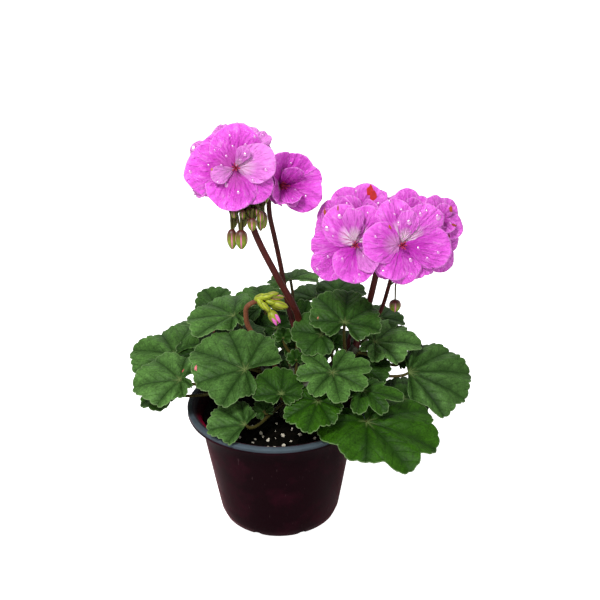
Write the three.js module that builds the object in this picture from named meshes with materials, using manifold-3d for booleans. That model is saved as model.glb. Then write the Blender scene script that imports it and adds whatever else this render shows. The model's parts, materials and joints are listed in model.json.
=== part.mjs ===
// A young zonal geranium in a round nursery pot: lobed leaves on long stalks round a forked
// stem, open flower heads on dark upright stalks, hanging buds under them and one nodding
// bunch of young buds.
//
// Millimetres, +Z up. The origin is the middle of the pot's underside. The plant's best
// side looks along -Y, and +X is to the right of it. Azimuths are degrees from +X towards +Y.

import * as THREE from "three";
import { mergeVertices } from "three/addons/utils/BufferGeometryUtils.js";
import Module from "manifold-3d";

const wasm = await Module();
wasm.setup();

// ---------------------------------------------------------------- driving sizes
const GAP = 0.3; // between pieces that touch

const POT = {
  height: 80,
  rim: 57.5, // outer radius of the flange round the mouth
  flange: 4, // how far the flange stands out from the inside of the mouth
  lip: 3, // how far the flange's edge turns down
  shoulder: 50.5, // outer radius of the wall just under the flange
  heel: 39.5, // outer radius where the wall turns in to the foot
  heelHeight: 13,
  foot: 31, // radius of the flat underside
  wall: 1.4,
  segments: 32,
  drains: 8, // notches round the foot that let water out
  drainRadius: 4,
};
const SOIL = { top: 71, mound: 2.5, segments: 24 };

const LEAF = {
  thickness: 0.9,
  stalkRadius: 1.15,
  stalkSides: 5,
  stalkSteps: 3,
  spread: 152, // half the angle that the lobes fill, the rest being open at the stalk
  notch: 0.1, // depth of the cuts between lobes, as a share of their length
  tooth: 0.06, // depth of the small rounded teeth
  pleat: 0.05, // height of the folds that run out to the lobes, as a share of the radius
  dish: 0.07, // how far the blade rises from the stalk's end before it falls to the margin
};
const PETAL = { thickness: 0.75, layer: 1 };

// The stem and its shoots: four points of a cubic curve each, and its radii at both ends.
const SHOOTS = {
  trunk: { points: [[4, -6, 44], [4, -6, 62], [5, -5, 78], [8, -2, 96]], radii: [4.6, 4.2] },
  middle: { points: [[7, -3, 90], [10, 2, 100], [15, 7, 108], [18, 11, 116]], radii: [4.0, 3.0] },
  left: { points: [[6, -4, 84], [-2, -2, 94], [-8, 4, 102], [-13, 10, 112]], radii: [3.6, 2.6] },
  right: { points: [[7, -3, 86], [20, 1, 91], [38, 7, 98], [50, 12, 112]], radii: [3.7, 2.8] },
};

// Each leaf: at is where its stalk meets the blade, face the azimuth and tilt of its upper
// side, tip the azimuth of its middle lobe, lobes their lengths from one side of the stalk
// round to the other (angles gives their directions off the tip where they stand unevenly),
// stalk the shoot that it grows from and how far up it.
const LEAVES = [
  {
    name: "front_left", at: [-19, -20, 114], face: [-90, 25], tip: 151,
    lobes: [24, 31, 34, 38, 33, 32, 20], stalk: ["left", 0.2], teeth: 6,
  },
  {
    name: "upper_left", at: [-27, 23, 129.7], face: [-140, 8], tip: 175,
    lobes: [18, 30, 32, 32, 31, 14, 10], stalk: ["left", 0.95],
  },
  {
    name: "upper_left_back", at: [-41, 58, 122], face: [-110, 25], tip: 118,
    lobes: [11, 15, 17, 16, 11], bow: [6, 2, -6], stalk: ["left", 0.75],
  },
  {
    name: "left", at: [-65, 16, 106], face: [-120, 20], tip: 159,
    lobes: [18, 28, 26, 30, 27, 22, 14], stalk: ["left", 0.5],
  },
  {
    name: "left_low", at: [-59, -18, 106.5], face: [-110, 25], tip: -179,
    lobes: [13, 20, 27, 31, 21, 11, 8], stalk: ["left", 0.3],
  },
  {
    name: "left_droop", at: [-66, 0, 88], face: [170, 35], tip: 190,
    lobes: [10, 14, 15, 14, 10], teeth: 2, stalk: ["trunk", 0.8],
  },
  {
    name: "front_left_low", at: [-19, -43, 89], face: [-100, 28], tip: 138,
    lobes: [11, 18, 23, 25, 19], spread: 105, stalk: ["trunk", 0.72],
  },
  {
    name: "front_middle_low", at: [3, -35, 105], face: [-95, 28], tip: 85,
    lobes: [9.5, 12.5, 16, 20, 21, 18, 8], spread: 165, stalk: ["trunk", 0.92],
  },
  {
    name: "front_middle", at: [34, -25, 114], face: [-90, 20], tip: -81,
    lobes: [24, 22, 21, 24.5, 23, 25, 22], spread: 168, notch: 0.2,
    stalk: ["right", 0.3], teeth: 6,
  },
  {
    name: "upper_middle", at: [42, -5, 137.5], face: [-80, 25], tip: 86,
    lobes: [16, 23, 25, 27, 27, 22, 14], spread: 160, stalk: ["right", 0.85],
  },
  {
    name: "middle", at: [28, -2, 128.3], face: [-100, 35], tip: 165,
    lobes: [12, 14, 17, 16, 14], stalk: ["middle", 0.6],
  },
  {
    name: "right", at: [62, 18, 112], face: [-70, 15], tip: 2,
    lobes: [13, 17, 22, 31, 27, 24, 19], spread: 165, notch: 0.15,
    stalk: ["right", 0.66],
  },
  {
    name: "far_right", at: [83, 5, 97], face: [-70, 25], tip: 6,
    lobes: [22, 36, 40, 41, 36, 28, 17], spread: 105, stalk: ["right", 0.5], teeth: 6,
  },
  {
    name: "right_low", at: [54, -38, 87], face: [-70, 18], tip: -55,
    lobes: [20, 33, 34, 44, 45, 43, 28], angles: [-142, -105, -52, 3, 38, 69, 112],
    spread: 160, notch: 0.26, stalk: ["trunk", 0.83], teeth: 6,
  },
  {
    name: "right_under", at: [79, -2, 81.5], face: [-80, 8], tip: 60,
    lobes: [18, 22, 24, 22, 18], stalk: ["right", 0.2],
  },
  {
    name: "front_right_small", at: [52, -28, 103], face: [-75, 20], tip: -21,
    lobes: [12, 17.5, 21, 26, 15, 12], angles: [-140, -80, -14, 20, 66, 120],
    spread: 155, notch: 0.3, stalk: ["right", 0.45],
  },
  {
    name: "front_low", at: [25, -38, 102], face: [-100, 28], tip: -109,
    lobes: [14, 16, 23.5, 23, 19.5, 17, 13], stalk: ["trunk", 0.99],
  },
  {
    name: "top_right", at: [39, 42, 137], face: [-90, 5], tip: 60,
    lobes: [14, 19, 20, 19, 14], stalk: ["right", 0.23],
  },
  {
    name: "top_left", at: [9, 35, 149], face: [90, 2], tip: 100,
    lobes: [14, 16, 17, 16, 13], stalk: ["middle", 0.6],
  },
  {
    name: "upper_left_middle", at: [-9, 60, 118], face: [-105, 15], tip: 103,
    lobes: [13, 18, 20, 20, 15], bow: [0, 0, -6], stalk: ["trunk", 0.95],
  },
  {
    name: "young", at: [4, 8, 121], face: [-90, 40], tip: 80,
    lobes: [5, 7, 8, 7, 5], teeth: 2, stalk: ["middle", 0.6],
  },
  {
    name: "inner", at: [5, 16, 111], face: [-80, 30], tip: 60,
    lobes: [10, 13, 14, 13, 10], stalk: ["middle", 0.4],
  },
  {
    name: "inner_small", at: [12, -1, 110], face: [-80, 40], tip: 100,
    lobes: [5, 7, 8, 7, 5], teeth: 2, stalk: ["middle", 0.25],
  },
  {
    name: "young_curled", at: [35, 7, 117.5], face: [-60, 55], tip: 80,
    lobes: [5, 8, 9, 8, 5], teeth: 2, stalk: ["right", 0.62],
  },
  {
    name: "young_low", at: [-8, -25, 87.5], face: [-95, 40], tip: 110,
    lobes: [6, 8, 8.5, 8, 6], teeth: 2, stalk: ["left", 0.2], bow: [0, -6, 0],
  },
  {
    name: "back_right_upper", at: [76, 44, 116], face: [60, 10], tip: 40,
    lobes: [15, 20, 22, 20, 15], stalk: ["right", 0.56],
  },
  {
    name: "back_left_upper", at: [-60, 60, 108], face: [150, 18], tip: 150,
    lobes: [17, 25, 27, 25, 17], bow: [0, 0, -4], stalk: ["left", 0.4],
  },
  {
    name: "back_middle_right", at: [28, 72, 116], face: [85, 22], tip: 80,
    lobes: [17, 25, 27, 25, 17], stalk: ["middle", 0.45],
  },
  {
    name: "back_right", at: [66, 62, 100], face: [50, 25], tip: 45,
    lobes: [17, 25, 27, 25, 17], stalk: ["right", 0.4],
  },
  {
    name: "back_left_low", at: [-44, 58, 90], face: [125, 25], tip: 125,
    lobes: [16, 23, 25, 23, 16], stalk: ["trunk", 0.87],
  },
  {
    name: "back_low", at: [14, 74, 92], face: [90, 25], tip: 90,
    lobes: [16, 23, 25, 23, 16], stalk: ["trunk", 0.8],
  },
];

// Each bloom: at is its throat, face the azimuth and elevation that it looks to, and each
// petal its direction seen from the front (anticlockwise from the right), length, width,
// how far it leans forward in degrees, and its layer.
const round = (turn, length, width, lean) =>
  [0, 1, 0, 1, 2].map((layer, k) => [turn + 72 * k, length, width, lean, layer]);
const HEADS = {
  left: [
    {
      at: [-21, -8, 239.5], face: [-88, 22], points: 7,
      petals: [
        [183, 31, 27, 0, 0], [140, 27.5, 28, -2, -0.6], [85, 26.5, 26, 3, 0],
        [312, 27, 24, -2, -0.6], [258, 26, 30, 4, 0], [17, 23.5, 23, 14, 0.5],
        [205, 17, 11, 22, 0.5],
      ],
    },
    {
      at: [-17, 6, 243], face: [-85, 35],
      petals: [
        [128, 20, 16, 4, 0], [98, 19, 16, 6, 1], [38, 17, 15, 4, 0], [65, 17, 15, 8, 1],
        [200, 16, 14, 3, 0],
      ],
    },
    { at: [-31, 8, 235], face: [140, 15], petals: round(20, 19, 18, 3) },
    { at: [-12, 15, 236], face: [65, 20], petals: round(50, 19, 18, 3) },
  ],
  side: [
    {
      at: [1.5, 14, 218.5], face: [-50, 15],
      petals: [
        [95, 27, 24, 48, 0], [23, 26, 23, 50, 0], [310, 26, 24, 46, 0], [240, 24, 22, 52, 0],
        [168, 25, 24, 55, 0], [60, 20, 14, 62, 1], [280, 18, 14, 62, 1],
      ],
    },
  ],
  right: [
    {
      at: [48, -14, 193], face: [-95, 15],
      petals: [
        [120, 26, 22, 4, 0], [182, 28, 16, -3, -0.6], [213, 29, 20, -5, -1.2], [268, 24, 28, 2, 0],
        [311, 19, 16, 8, 0], [80, 24, 18, -2, -0.6], [10, 17, 16, -4, -0.6],
      ],
    },
    {
      at: [75, -13, 192], face: [-85, 15],
      petals: [
        [172, 23, 27, 10, 1], [238, 21, 21, 8, 0], [99, 28, 22, 2, 0], [40, 29, 21, 4, 0],
        [357, 31, 22, 0, 1], [327, 27, 22, -4, -1], [272, 23, 20, 2, 0], [297, 22, 16, -2, -1],
      ],
    },
    { at: [37, 0, 205], face: [-160, 30], petals: round(10, 18, 17, 3) },
    { at: [52, 8, 209], face: [-118, 60], petals: round(0, 19, 17, 3) },
    { at: [69, 16, 208], face: [-90, 75], petals: round(0, 18, 17, 3) },
    { at: [85, 8, 204], face: [-60, 60], petals: round(30, 18, 17, 3) },
    { at: [102, 5, 197], face: [-25, 35], petals: round(60, 18, 17, 3) },
    { at: [100, 3, 180], face: [-20, -10], petals: round(20, 18, 17, 3) },
    { at: [74, -4, 177], face: [-90, -25], petals: round(18, 17, 16, 2) },
    { at: [50, 30, 195], face: [130, 18], petals: round(0, 19, 18, 3) },
    { at: [71, 35, 195], face: [90, 20], petals: round(36, 19, 18, 3) },
    { at: [94, 26, 189], face: [40, 10], petals: round(10, 19, 18, 3) },
  ],
};

// Flower stalks: points along each and its radii at both ends. Rays fan out of the hub at
// its top to the blooms, and buds hang from hooked rays.
const STALKS = {
  left: {
    points: [
      [18, 11, 110], [14, 8.4, 133], [10.5, 3.4, 146.5], [0, -2, 170.5], [-9.6, -4, 193],
      [-15.6, -2, 211],
    ],
    radii: [2.3, 1.9],
    rays: [[-21, -5, 236], [-16, 6, 239], [-29, 9, 231], [-13, 12, 231]],
    buds: [
      { top: [-24.8, -6, 214], at: [-25.2, -10, 198], length: 12, width: 5.6 },
      { top: [-18.8, -10, 214], at: [-20, -13, 199], length: 13, width: 7 },
      { top: [-12, -11, 215], at: [-12.5, -12, 206], length: 8.5, width: 5.4 },
      { top: [-7, -1, 213], at: [-8, 1, 200], length: 10, width: 5 },
    ],
  },
  side: {
    points: [
      [16, 8, 110], [11, 16, 124], [7, 19, 140], [4, 18, 165], [1.4, 13, 186], [-0.9, 10, 203],
      [-1.2, 9, 216],
    ],
    radii: [1.5, 1.3],
    rays: [],
    buds: [],
  },
  right: {
    points: [[49, 11.5, 110], [53, 15, 125], [57, 15.8, 139], [60, 12, 160], [63, 8, 178]],
    radii: [2.2, 1.9],
    rays: [
      [48, -13, 193], [74, -9, 191], [42, 3, 200], [55, 9, 203], [84, 9, 200], [97, 6, 192],
      [50, 29, 195], [91, 24, 187],
    ],
    buds: [{ top: [71, 5, 168], at: [72.3, 5, 144], length: 8.5, width: 7 }],
  },
  right_back: {
    points: [
      [46, 10, 107], [46, 18, 116], [53, 23, 122], [62, 20, 132], [69, 14, 157], [72, 13, 172],
    ],
    radii: [1.4, 1.2],
    rays: [],
    buds: [],
  },
};

// The nodding bunch of young buds: its hooked stalk, and the middle, direction, length and
// width of each bud.
const BUNCH = {
  points: [
    [-1.7, -0.6, 94], [-1.5, 4, 103], [-7, 8, 113], [-14.5, 12, 121.5], [-18.2, 12.5, 128.3],
    [-19, 12, 135.5], [-18, 11, 142], [-11, 8.5, 147.5],
  ],
  radii: [1.8, 1.5],
  buds: [
    { at: [-8, 8, 149], to: [1, -0.1, 0.2], length: 10, width: 8 },
    { at: [0.5, 9, 149], to: [1, 0.2, -0.1], length: 10, width: 5 },
    { at: [2, 7, 145.2], to: [1, -0.1, -0.25], length: 11, width: 6 },
    { at: [-8, 6, 146.4], to: [0.5, -0.3, -0.8], length: 9, width: 6 },
    { at: [-5, 6, 143.2], to: [0.6, -0.3, -0.6], length: 8, width: 5 },
    { at: [-0.7, 5, 137.4], to: [0.45, -0.2, -0.8], length: 12, width: 8 },
  ],
};

// ---------------------------------------------------------------- small tools
const rad = THREE.MathUtils.degToRad;
const vec = (a) => new THREE.Vector3(...a);
const heading = (azimuth, elevation = 0) =>
  new THREE.Vector3(
    Math.cos(rad(azimuth)) * Math.cos(rad(elevation)),
    Math.sin(rad(azimuth)) * Math.cos(rad(elevation)),
    Math.sin(rad(elevation)),
  );

// A geometry as a solid: only its positions count, with shared corners merged.
function solidOf(geometry) {
  const bare = new THREE.BufferGeometry();
  bare.setAttribute("position", geometry.getAttribute("position"));
  bare.setIndex(geometry.getIndex());
  const merged = mergeVertices(bare, 1e-4);
  return new wasm.Manifold(
    new wasm.Mesh({
      numProp: 3,
      vertProperties: merged.getAttribute("position").array,
      triVerts: new Uint32Array(merged.getIndex().array),
    }),
  );
}

function geometryOf(solid) {
  const mesh = solid.getMesh();
  const geometry = new THREE.BufferGeometry();
  geometry.setAttribute("position", new THREE.BufferAttribute(mesh.vertProperties, 3));
  geometry.setIndex(new THREE.BufferAttribute(mesh.triVerts, 1));
  geometry.computeVertexNormals();
  return geometry;
}

// Several solids joined to one. A hollow that the joining seals is filled.
const joined = (solids) => {
  const all = solids.reduce((sum, one) => sum.add(one));
  return wasm.Manifold.compose(all.decompose().filter((body) => body.volume() > 0));
};

// The largest body of a solid, without the loose scraps that a cut can leave.
const largest = (solid) =>
  solid.decompose().reduce((best, one) => (one.volume() > best.volume() ? one : best));

// A closed round tube along a curve, with its radius given at each share of the length.
function tube(curve, radiusAt, sides, steps) {
  const geometry = new THREE.CylinderGeometry(1, 1, 1, sides, steps);
  const frames = curve.computeFrenetFrames(steps);
  const place = geometry.getAttribute("position");
  for (let i = 0; i < place.count; i++) {
    const share = 0.5 + place.getY(i);
    const step = Math.round(share * steps);
    const radius = radiusAt(share);
    const point = curve
      .getPointAt(share)
      .addScaledVector(frames.normals[step], place.getZ(i) * radius)
      .addScaledVector(frames.binormals[step], place.getX(i) * radius);
    place.setXYZ(i, point.x, point.y, point.z);
  }
  return solidOf(geometry);
}

const bezier = (points) => new THREE.CubicBezierCurve3(...points);
const taper = ([first, last]) => (share) => first + (last - first) * share;

// A thin blade that spreads like a fan from its root. The root lies at the frame's origin,
// local x runs out along the middle, local z is the upper side's normal. reach(a) is the
// margin's distance at angle a, height(s, a) the rise at share s of that distance.
function fan({ spread, points, reach, height, thickness, frame, inner = 0.52 }) {
  const angleAt = (i) => -spread + (2 * spread * i) / (points - 1);
  const upper = [[0, 0, height(0, 0)]];
  const add = (angle, share) => {
    const r = reach(angle) * share;
    upper.push([r * Math.cos(angle), r * Math.sin(angle), height(share, angle)]);
  };
  const ring = (points + 1) / 2;
  for (let i = 0; i < ring; i++) add(angleAt(2 * i), inner);
  for (let i = 0; i < points; i++) add(angleAt(i), 1);

  const faces = [];
  const border = [0];
  const rim = 1 + ring;
  for (let i = 0; i + 1 < ring; i++) {
    const a = 1 + i;
    const o = rim + 2 * i;
    faces.push([0, a, a + 1], [a, o, o + 1], [a, o + 1, a + 1], [a + 1, o + 1, o + 2]);
  }
  border.push(1);
  for (let i = 0; i < points; i++) border.push(rim + i);
  border.push(ring);

  const count = upper.length;
  const corners = [...upper, ...upper.map(([x, y, z]) => [x, y, z - thickness])].map((p) =>
    vec(p).applyMatrix4(frame),
  );
  const index = [];
  faces.forEach(([a, b, c]) => index.push(a, b, c, count + a, count + c, count + b));
  border.forEach((a, k) => {
    const b = border[(k + 1) % border.length];
    index.push(a, count + a, count + b, a, count + b, b);
  });
  const geometry = new THREE.BufferGeometry().setFromPoints(corners);
  geometry.setIndex(index);
  return solidOf(geometry);
}

// A frame at a point with its z along normal and its x as near to forward as it can be.
function frameAt(point, normal, forward) {
  const z = normal.clone().normalize();
  const x = forward.clone().addScaledVector(z, -forward.dot(z)).normalize();
  return new THREE.Matrix4().makeBasis(x, z.clone().cross(x), z).setPosition(point);
}

// ---------------------------------------------------------------- pot and soil
function potProfile(inset, top) {
  const { foot, heel, heelHeight, shoulder, height, lip } = POT;
  return [
    [0, inset],
    [foot - inset, inset],
    [foot + 0.55 * (heel - foot) - inset, inset + 0.2 * heelHeight],
    [heel - inset, heelHeight],
    [shoulder - inset, height - lip - 1],
    ...top,
  ].map(([x, y]) => new THREE.Vector2(x, y));
}

function pot() {
  const { height, rim, flange, lip, shoulder, wall, segments, drains, drainRadius, foot } = POT;
  const outside = potProfile(0, [
    [rim - wall, height - lip - 1],
    [rim - wall * 0.7, height - lip - 1.6],
    [rim, height - lip],
    [rim, height - 1],
    [rim - 1, height],
    [rim - flange, height],
  ]);
  const inside = potProfile(wall, [[rim - flange - 1, height - 1.2]]).slice(1).reverse();
  const profile = [...outside, ...inside, new THREE.Vector2(0, wall)];
  let solid = solidOf(turned(profile, segments));
  for (let k = 0; k < drains; k++) {
    const away = heading((360 * (k + 0.5)) / drains);
    const cutter = new THREE.CylinderGeometry(drainRadius, drainRadius, 14, 8);
    cutter.rotateX(Math.PI / 2);
    const out = new THREE.Vector3(0, 0, 1);
    cutter.applyQuaternion(new THREE.Quaternion().setFromUnitVectors(out, away));
    cutter.translate(away.x * (foot + 8), away.y * (foot + 8), 0);
    solid = solid.subtract(solidOf(cutter));
  }
  return solid;
}

// A profile of radius and height, turned about +Z.
function turned(profile, segments) {
  const geometry = new THREE.LatheGeometry(profile, segments);
  geometry.rotateX(Math.PI / 2);
  return geometry;
}

function soil(stem) {
  const { wall, shoulder, heel, heelHeight, foot, height, lip } = POT;
  const inset = wall + GAP;
  const slope = (shoulder - heel) / (height - lip - 1 - heelHeight);
  const edge = heel + (SOIL.top - heelHeight) * slope - inset;
  const profile = [
    [0, inset],
    [foot - inset, inset],
    [foot + 0.55 * (heel - foot) - inset, inset + 0.2 * heelHeight],
    [heel - inset, heelHeight],
    [edge, SOIL.top],
    [edge * 0.7, SOIL.top + SOIL.mound * 0.6],
    [edge * 0.35, SOIL.top + SOIL.mound],
    [0, SOIL.top + SOIL.mound],
  ].map(([x, y]) => new THREE.Vector2(x, y));
  return solidOf(turned(profile, SOIL.segments)).subtract(stem);
}

// ---------------------------------------------------------------- stem and leaves
const shootCurve = (name) => bezier(SHOOTS[name].points.map(vec));

function stem(extra) {
  return joined(
    Object.entries(SHOOTS).map(([name, { radii }]) =>
      tube(shootCurve(name), taper(radii.map((r) => r + extra)), 8, 4),
    ),
  );
}

// Where a direction off the middle lobe falls among a leaf's lobes: a whole number is a cut
// between two of them, and a half the middle of one.
function leafPlace(leaf, angle) {
  const { lobes, spread = LEAF.spread } = leaf;
  const even = (k) => (k + 0.5) * ((2 * spread) / lobes.length) - spread;
  const middles = lobes.map((_, k) => (leaf.angles ? leaf.angles[k] : even(k)));
  const cuts = [-spread, ...middles.slice(1).map((m, k) => (m + middles[k]) / 2), spread];
  const degrees = THREE.MathUtils.clamp(THREE.MathUtils.radToDeg(angle), -spread, spread);
  const k = Math.min(cuts.findIndex((cut, i) => i > 0 && degrees <= cut + 1e-6), lobes.length) - 1;
  return k + (degrees - cuts[k]) / (cuts[k + 1] - cuts[k]);
}

// How far the margin is from the stalk, in a direction off the middle lobe.
function leafReach(leaf, angle) {
  const place = leafPlace(leaf, angle);
  const { lobes, notch = LEAF.notch, teeth = 4 } = leaf;
  const from = THREE.MathUtils.clamp(Math.floor(place - 0.5), 0, lobes.length - 1);
  const to = Math.min(from + 1, lobes.length - 1);
  const share = THREE.MathUtils.clamp(place - 0.5 - from, 0, 1);
  const blend = THREE.MathUtils.smoothstep(share, 0, 1);
  const length = THREE.MathUtils.lerp(lobes[from], lobes[to], blend);
  const cut = notch * Math.abs(Math.cos(Math.PI * place)) ** 4;
  const tooth = LEAF.tooth * (0.5 + 0.5 * Math.cos(Math.PI * place * teeth));
  const end = Math.max(0, 0.5 - place, place - lobes.length + 0.5);
  return length * (1 - cut - tooth) * (1 - 1.4 * end ** 2);
}

const leafSize = (leaf) => Math.max(...leaf.lobes);

// How high the blade stands over its stalk's end: dished, pleated along its lobes, and
// swaying a little from side to side.
function leafHeight(leaf, share, angle) {
  const { dish = LEAF.dish, sway = 0.03, turn = 40 } = leaf;
  return (
    leafSize(leaf) *
    (dish * Math.sin(Math.PI * share) +
      LEAF.pleat * share * Math.cos(2 * Math.PI * leafPlace(leaf, angle)) +
      sway * share ** 2 * Math.sin(2 * angle + rad(turn)))
  );
}

function leafFrame(leaf) {
  const [azimuth, tilt] = leaf.face;
  return frameAt(vec(leaf.at), heading(azimuth, 90 - tilt), heading(leaf.tip));
}

function leafStalk(leaf) {
  const [shoot, share] = leaf.stalk;
  const start = shootCurve(shoot).getPoint(share);
  const end = vec(leaf.at);
  const length = start.distanceTo(end);
  const frame = leafFrame(leaf);
  const x = new THREE.Vector3().setFromMatrixColumn(frame, 0);
  const z = new THREE.Vector3().setFromMatrixColumn(frame, 2);
  const bow = vec(leaf.bow ?? [0, 0, 0]);
  const out = end.clone().sub(start).setZ(0).normalize();
  const first = start.clone().addScaledVector(out, length * 0.3).add(bow);
  first.z += length * 0.15;
  const last = end.clone().addScaledVector(z, -length * 0.22).add(bow);
  last.addScaledVector(x, -length * 0.14);
  end.addScaledVector(z, -LEAF.thickness * 0.5).addScaledVector(x, 2.2);
  return bezier([start, first, last, end]);
}

function leafSolid(leaf, stemSpace) {
  const { lobes, teeth = 4, spread = LEAF.spread } = leaf;
  const blade = fan({
    spread: rad(spread),
    points: lobes.length * teeth + 1,
    reach: (angle) => leafReach(leaf, angle),
    height: (share, angle) => leafHeight(leaf, share, angle),
    thickness: LEAF.thickness,
    frame: leafFrame(leaf),
  });
  const { stalkRadius, stalkSides, stalkSteps } = LEAF;
  const radii = [stalkRadius * 1.25, stalkRadius * 0.85];
  const stalk = tube(leafStalk(leaf), taper(radii), stalkSides, stalkSteps);
  return largest(blade.add(stalk).subtract(stemSpace));
}

// ---------------------------------------------------------------- flowers
// A petal: a thin blade, narrow at its claw and round at its end, with a wavy margin. extra
// makes it larger all round, to clear a space for it.
function petal({ at, face, points = 5 }, [direction, length, width, lean, layer], number, extra) {
  const axis = heading(...face);
  const up = new THREE.Vector3(0, 0, 1);
  up.addScaledVector(axis, -up.dot(axis)).normalize();
  const right = up.clone().cross(axis);
  const side = right.multiplyScalar(Math.cos(rad(direction)));
  const flat = side.addScaledVector(up, Math.sin(rad(direction)));
  const out = flat.clone().multiplyScalar(Math.cos(rad(lean)));
  out.addScaledVector(axis, Math.sin(rad(lean)));
  const normal = axis.clone().multiplyScalar(Math.cos(rad(lean)));
  normal.addScaledVector(flat, -Math.sin(rad(lean)));
  const root = vec(at).addScaledVector(axis, layer * PETAL.layer).addScaledVector(normal, extra);
  const radius = width / 2 + extra;
  const middle = length + extra - radius;
  const spread = Math.asin(Math.min(radius / middle, 0.95));
  const reach = (angle) => {
    const off = middle * Math.sin(angle);
    const far = middle * Math.cos(angle) + Math.sqrt(Math.max(radius ** 2 - off ** 2, 0));
    return far * (1 + 0.03 * Math.cos(9 * angle + number));
  };
  const height = (share, angle) =>
    length * share ** 2 * (0.02 * Math.sin(5 * angle + 2.1 * number) - 0.05);
  return fan({
    spread,
    points,
    reach,
    height,
    thickness: PETAL.thickness + 2 * extra,
    frame: frameAt(root, normal, out),
    inner: 0.6,
  });
}

const bloom = (flower, extra) =>
  joined(flower.petals.map((one, number) => petal(flower, one, number, extra)));

const head = (name, extra) => joined(HEADS[name].map((flower) => bloom(flower, extra)));

function bud(at, direction, length, width) {
  const geometry = new THREE.SphereGeometry(0.5, 6, 4);
  geometry.scale(width, length, width);
  const up = new THREE.Vector3(0, 1, 0);
  const turn = new THREE.Quaternion().setFromUnitVectors(up, direction.clone().normalize());
  geometry.applyQuaternion(turn);
  geometry.translate(...at);
  return solidOf(geometry);
}

function flowerStalk(name) {
  const { points, radii, rays, buds } = STALKS[name];
  const curve = new THREE.CatmullRomCurve3(points.map(vec));
  const parts = [tube(curve, taper(radii), 6, 8)];
  const hub = vec(points[points.length - 1]);
  if (rays.length + buds.length > 0) {
    const knob = new THREE.IcosahedronGeometry(radii[1] * 1.5, 0);
    knob.translate(hub.x, hub.y, hub.z);
    parts.push(solidOf(knob));
  }
  rays.forEach((end) => parts.push(ray(hub, vec(end), 0.8)));
  buds.forEach(({ top, at, length, width }) => {
    parts.push(hook(hub, vec(top), vec(at)));
    parts.push(bud(at, new THREE.Vector3(0, 0, -1), length, width));
  });
  return joined(parts);
}

function ray(start, end, radius) {
  const middle = start.clone().lerp(end, 0.5);
  middle.z += start.distanceTo(end) * 0.12;
  const curve = new THREE.QuadraticBezierCurve3(start, middle, end);
  return tube(curve, () => radius, 4, 2);
}

// A ray that rises from the hub, bends over and hangs down to its bud.
function hook(start, top, end) {
  const curve = new THREE.CatmullRomCurve3([start, top, top.clone().lerp(end, 0.35), end]);
  return tube(curve, () => 0.65, 4, 4);
}

function bunch() {
  const curve = new THREE.CatmullRomCurve3(BUNCH.points.map(vec));
  const hub = vec(BUNCH.points[BUNCH.points.length - 1]);
  const parts = [tube(curve, taper(BUNCH.radii), 6, 8)];
  BUNCH.buds.forEach(({ at, to, length, width }) => {
    parts.push(bud(at, vec(to), length, width));
    parts.push(ray(hub, vec(at), 0.8));
  });
  return joined(parts);
}

// ---------------------------------------------------------------- the whole plant
const MATERIALS = {
  pot: { color: 0x2a181b, roughness: 0.5 },
  soil: { color: 0x17110d, roughness: 1 },
  stem: { color: 0x6b6a3a, roughness: 0.6 },
  leaf: { color: 0x47692f, roughness: 0.6 },
  stalk: { color: 0x442016, roughness: 0.6 },
  bud: { color: 0x8a9420, roughness: 0.6 },
  petal: { color: 0xe054d8, roughness: 0.55 },
};

const plant = new THREE.Group();
function piece(name, solid, kind) {
  const material = new THREE.MeshStandardMaterial({ metalness: 0, ...MATERIALS[kind] });
  const mesh = new THREE.Mesh(geometryOf(solid), material);
  mesh.name = name;
  plant.add(mesh);
}

const stemSpace = stem(GAP);
const petalSpace = joined(Object.keys(HEADS).map((name) => head(name, GAP)));
piece("pot", pot(), "pot");
piece("soil", soil(stemSpace), "soil");
piece("stem", stem(0), "stem");
LEAVES.forEach((leaf) => piece(`leaf_${leaf.name}`, leafSolid(leaf, stemSpace), "leaf"));
Object.keys(STALKS).forEach((name) => {
  const free = flowerStalk(name).subtract(stemSpace).subtract(petalSpace);
  piece(`flower_stalk_${name}`, largest(free), "stalk");
});
piece("bud_bunch", largest(bunch().subtract(stemSpace)), "bud");
Object.keys(HEADS).forEach((name) => piece(`petals_${name}`, head(name, 0), "petal"));

export default plant;
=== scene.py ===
# %% [markdown]
# # A young geranium in a nursery pot
#
# This lesson dresses a imported CAD model of a zonal geranium. The CAD model gives the place
# and size of each leaf, stalk, bud and flower head. Here each of them is made again as a
# fine surface, and gets the look of the real thing: hairy lobed leaves with sunken veins,
# silky magenta petals with drops of water on them, dark red flower stalks, black potting
# soil with white grains, and a thin dark plastic pot.
#
# The frame comes first. It holds the CAD solids, and its box is kept, so that at the end the
# dressed plant can be measured against it.

# %% Load the frame
import json
import math
import random

import bmesh
import bpy
from mathutils import Matrix, Vector, noise
from mathutils.bvhtree import BVHTree

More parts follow.
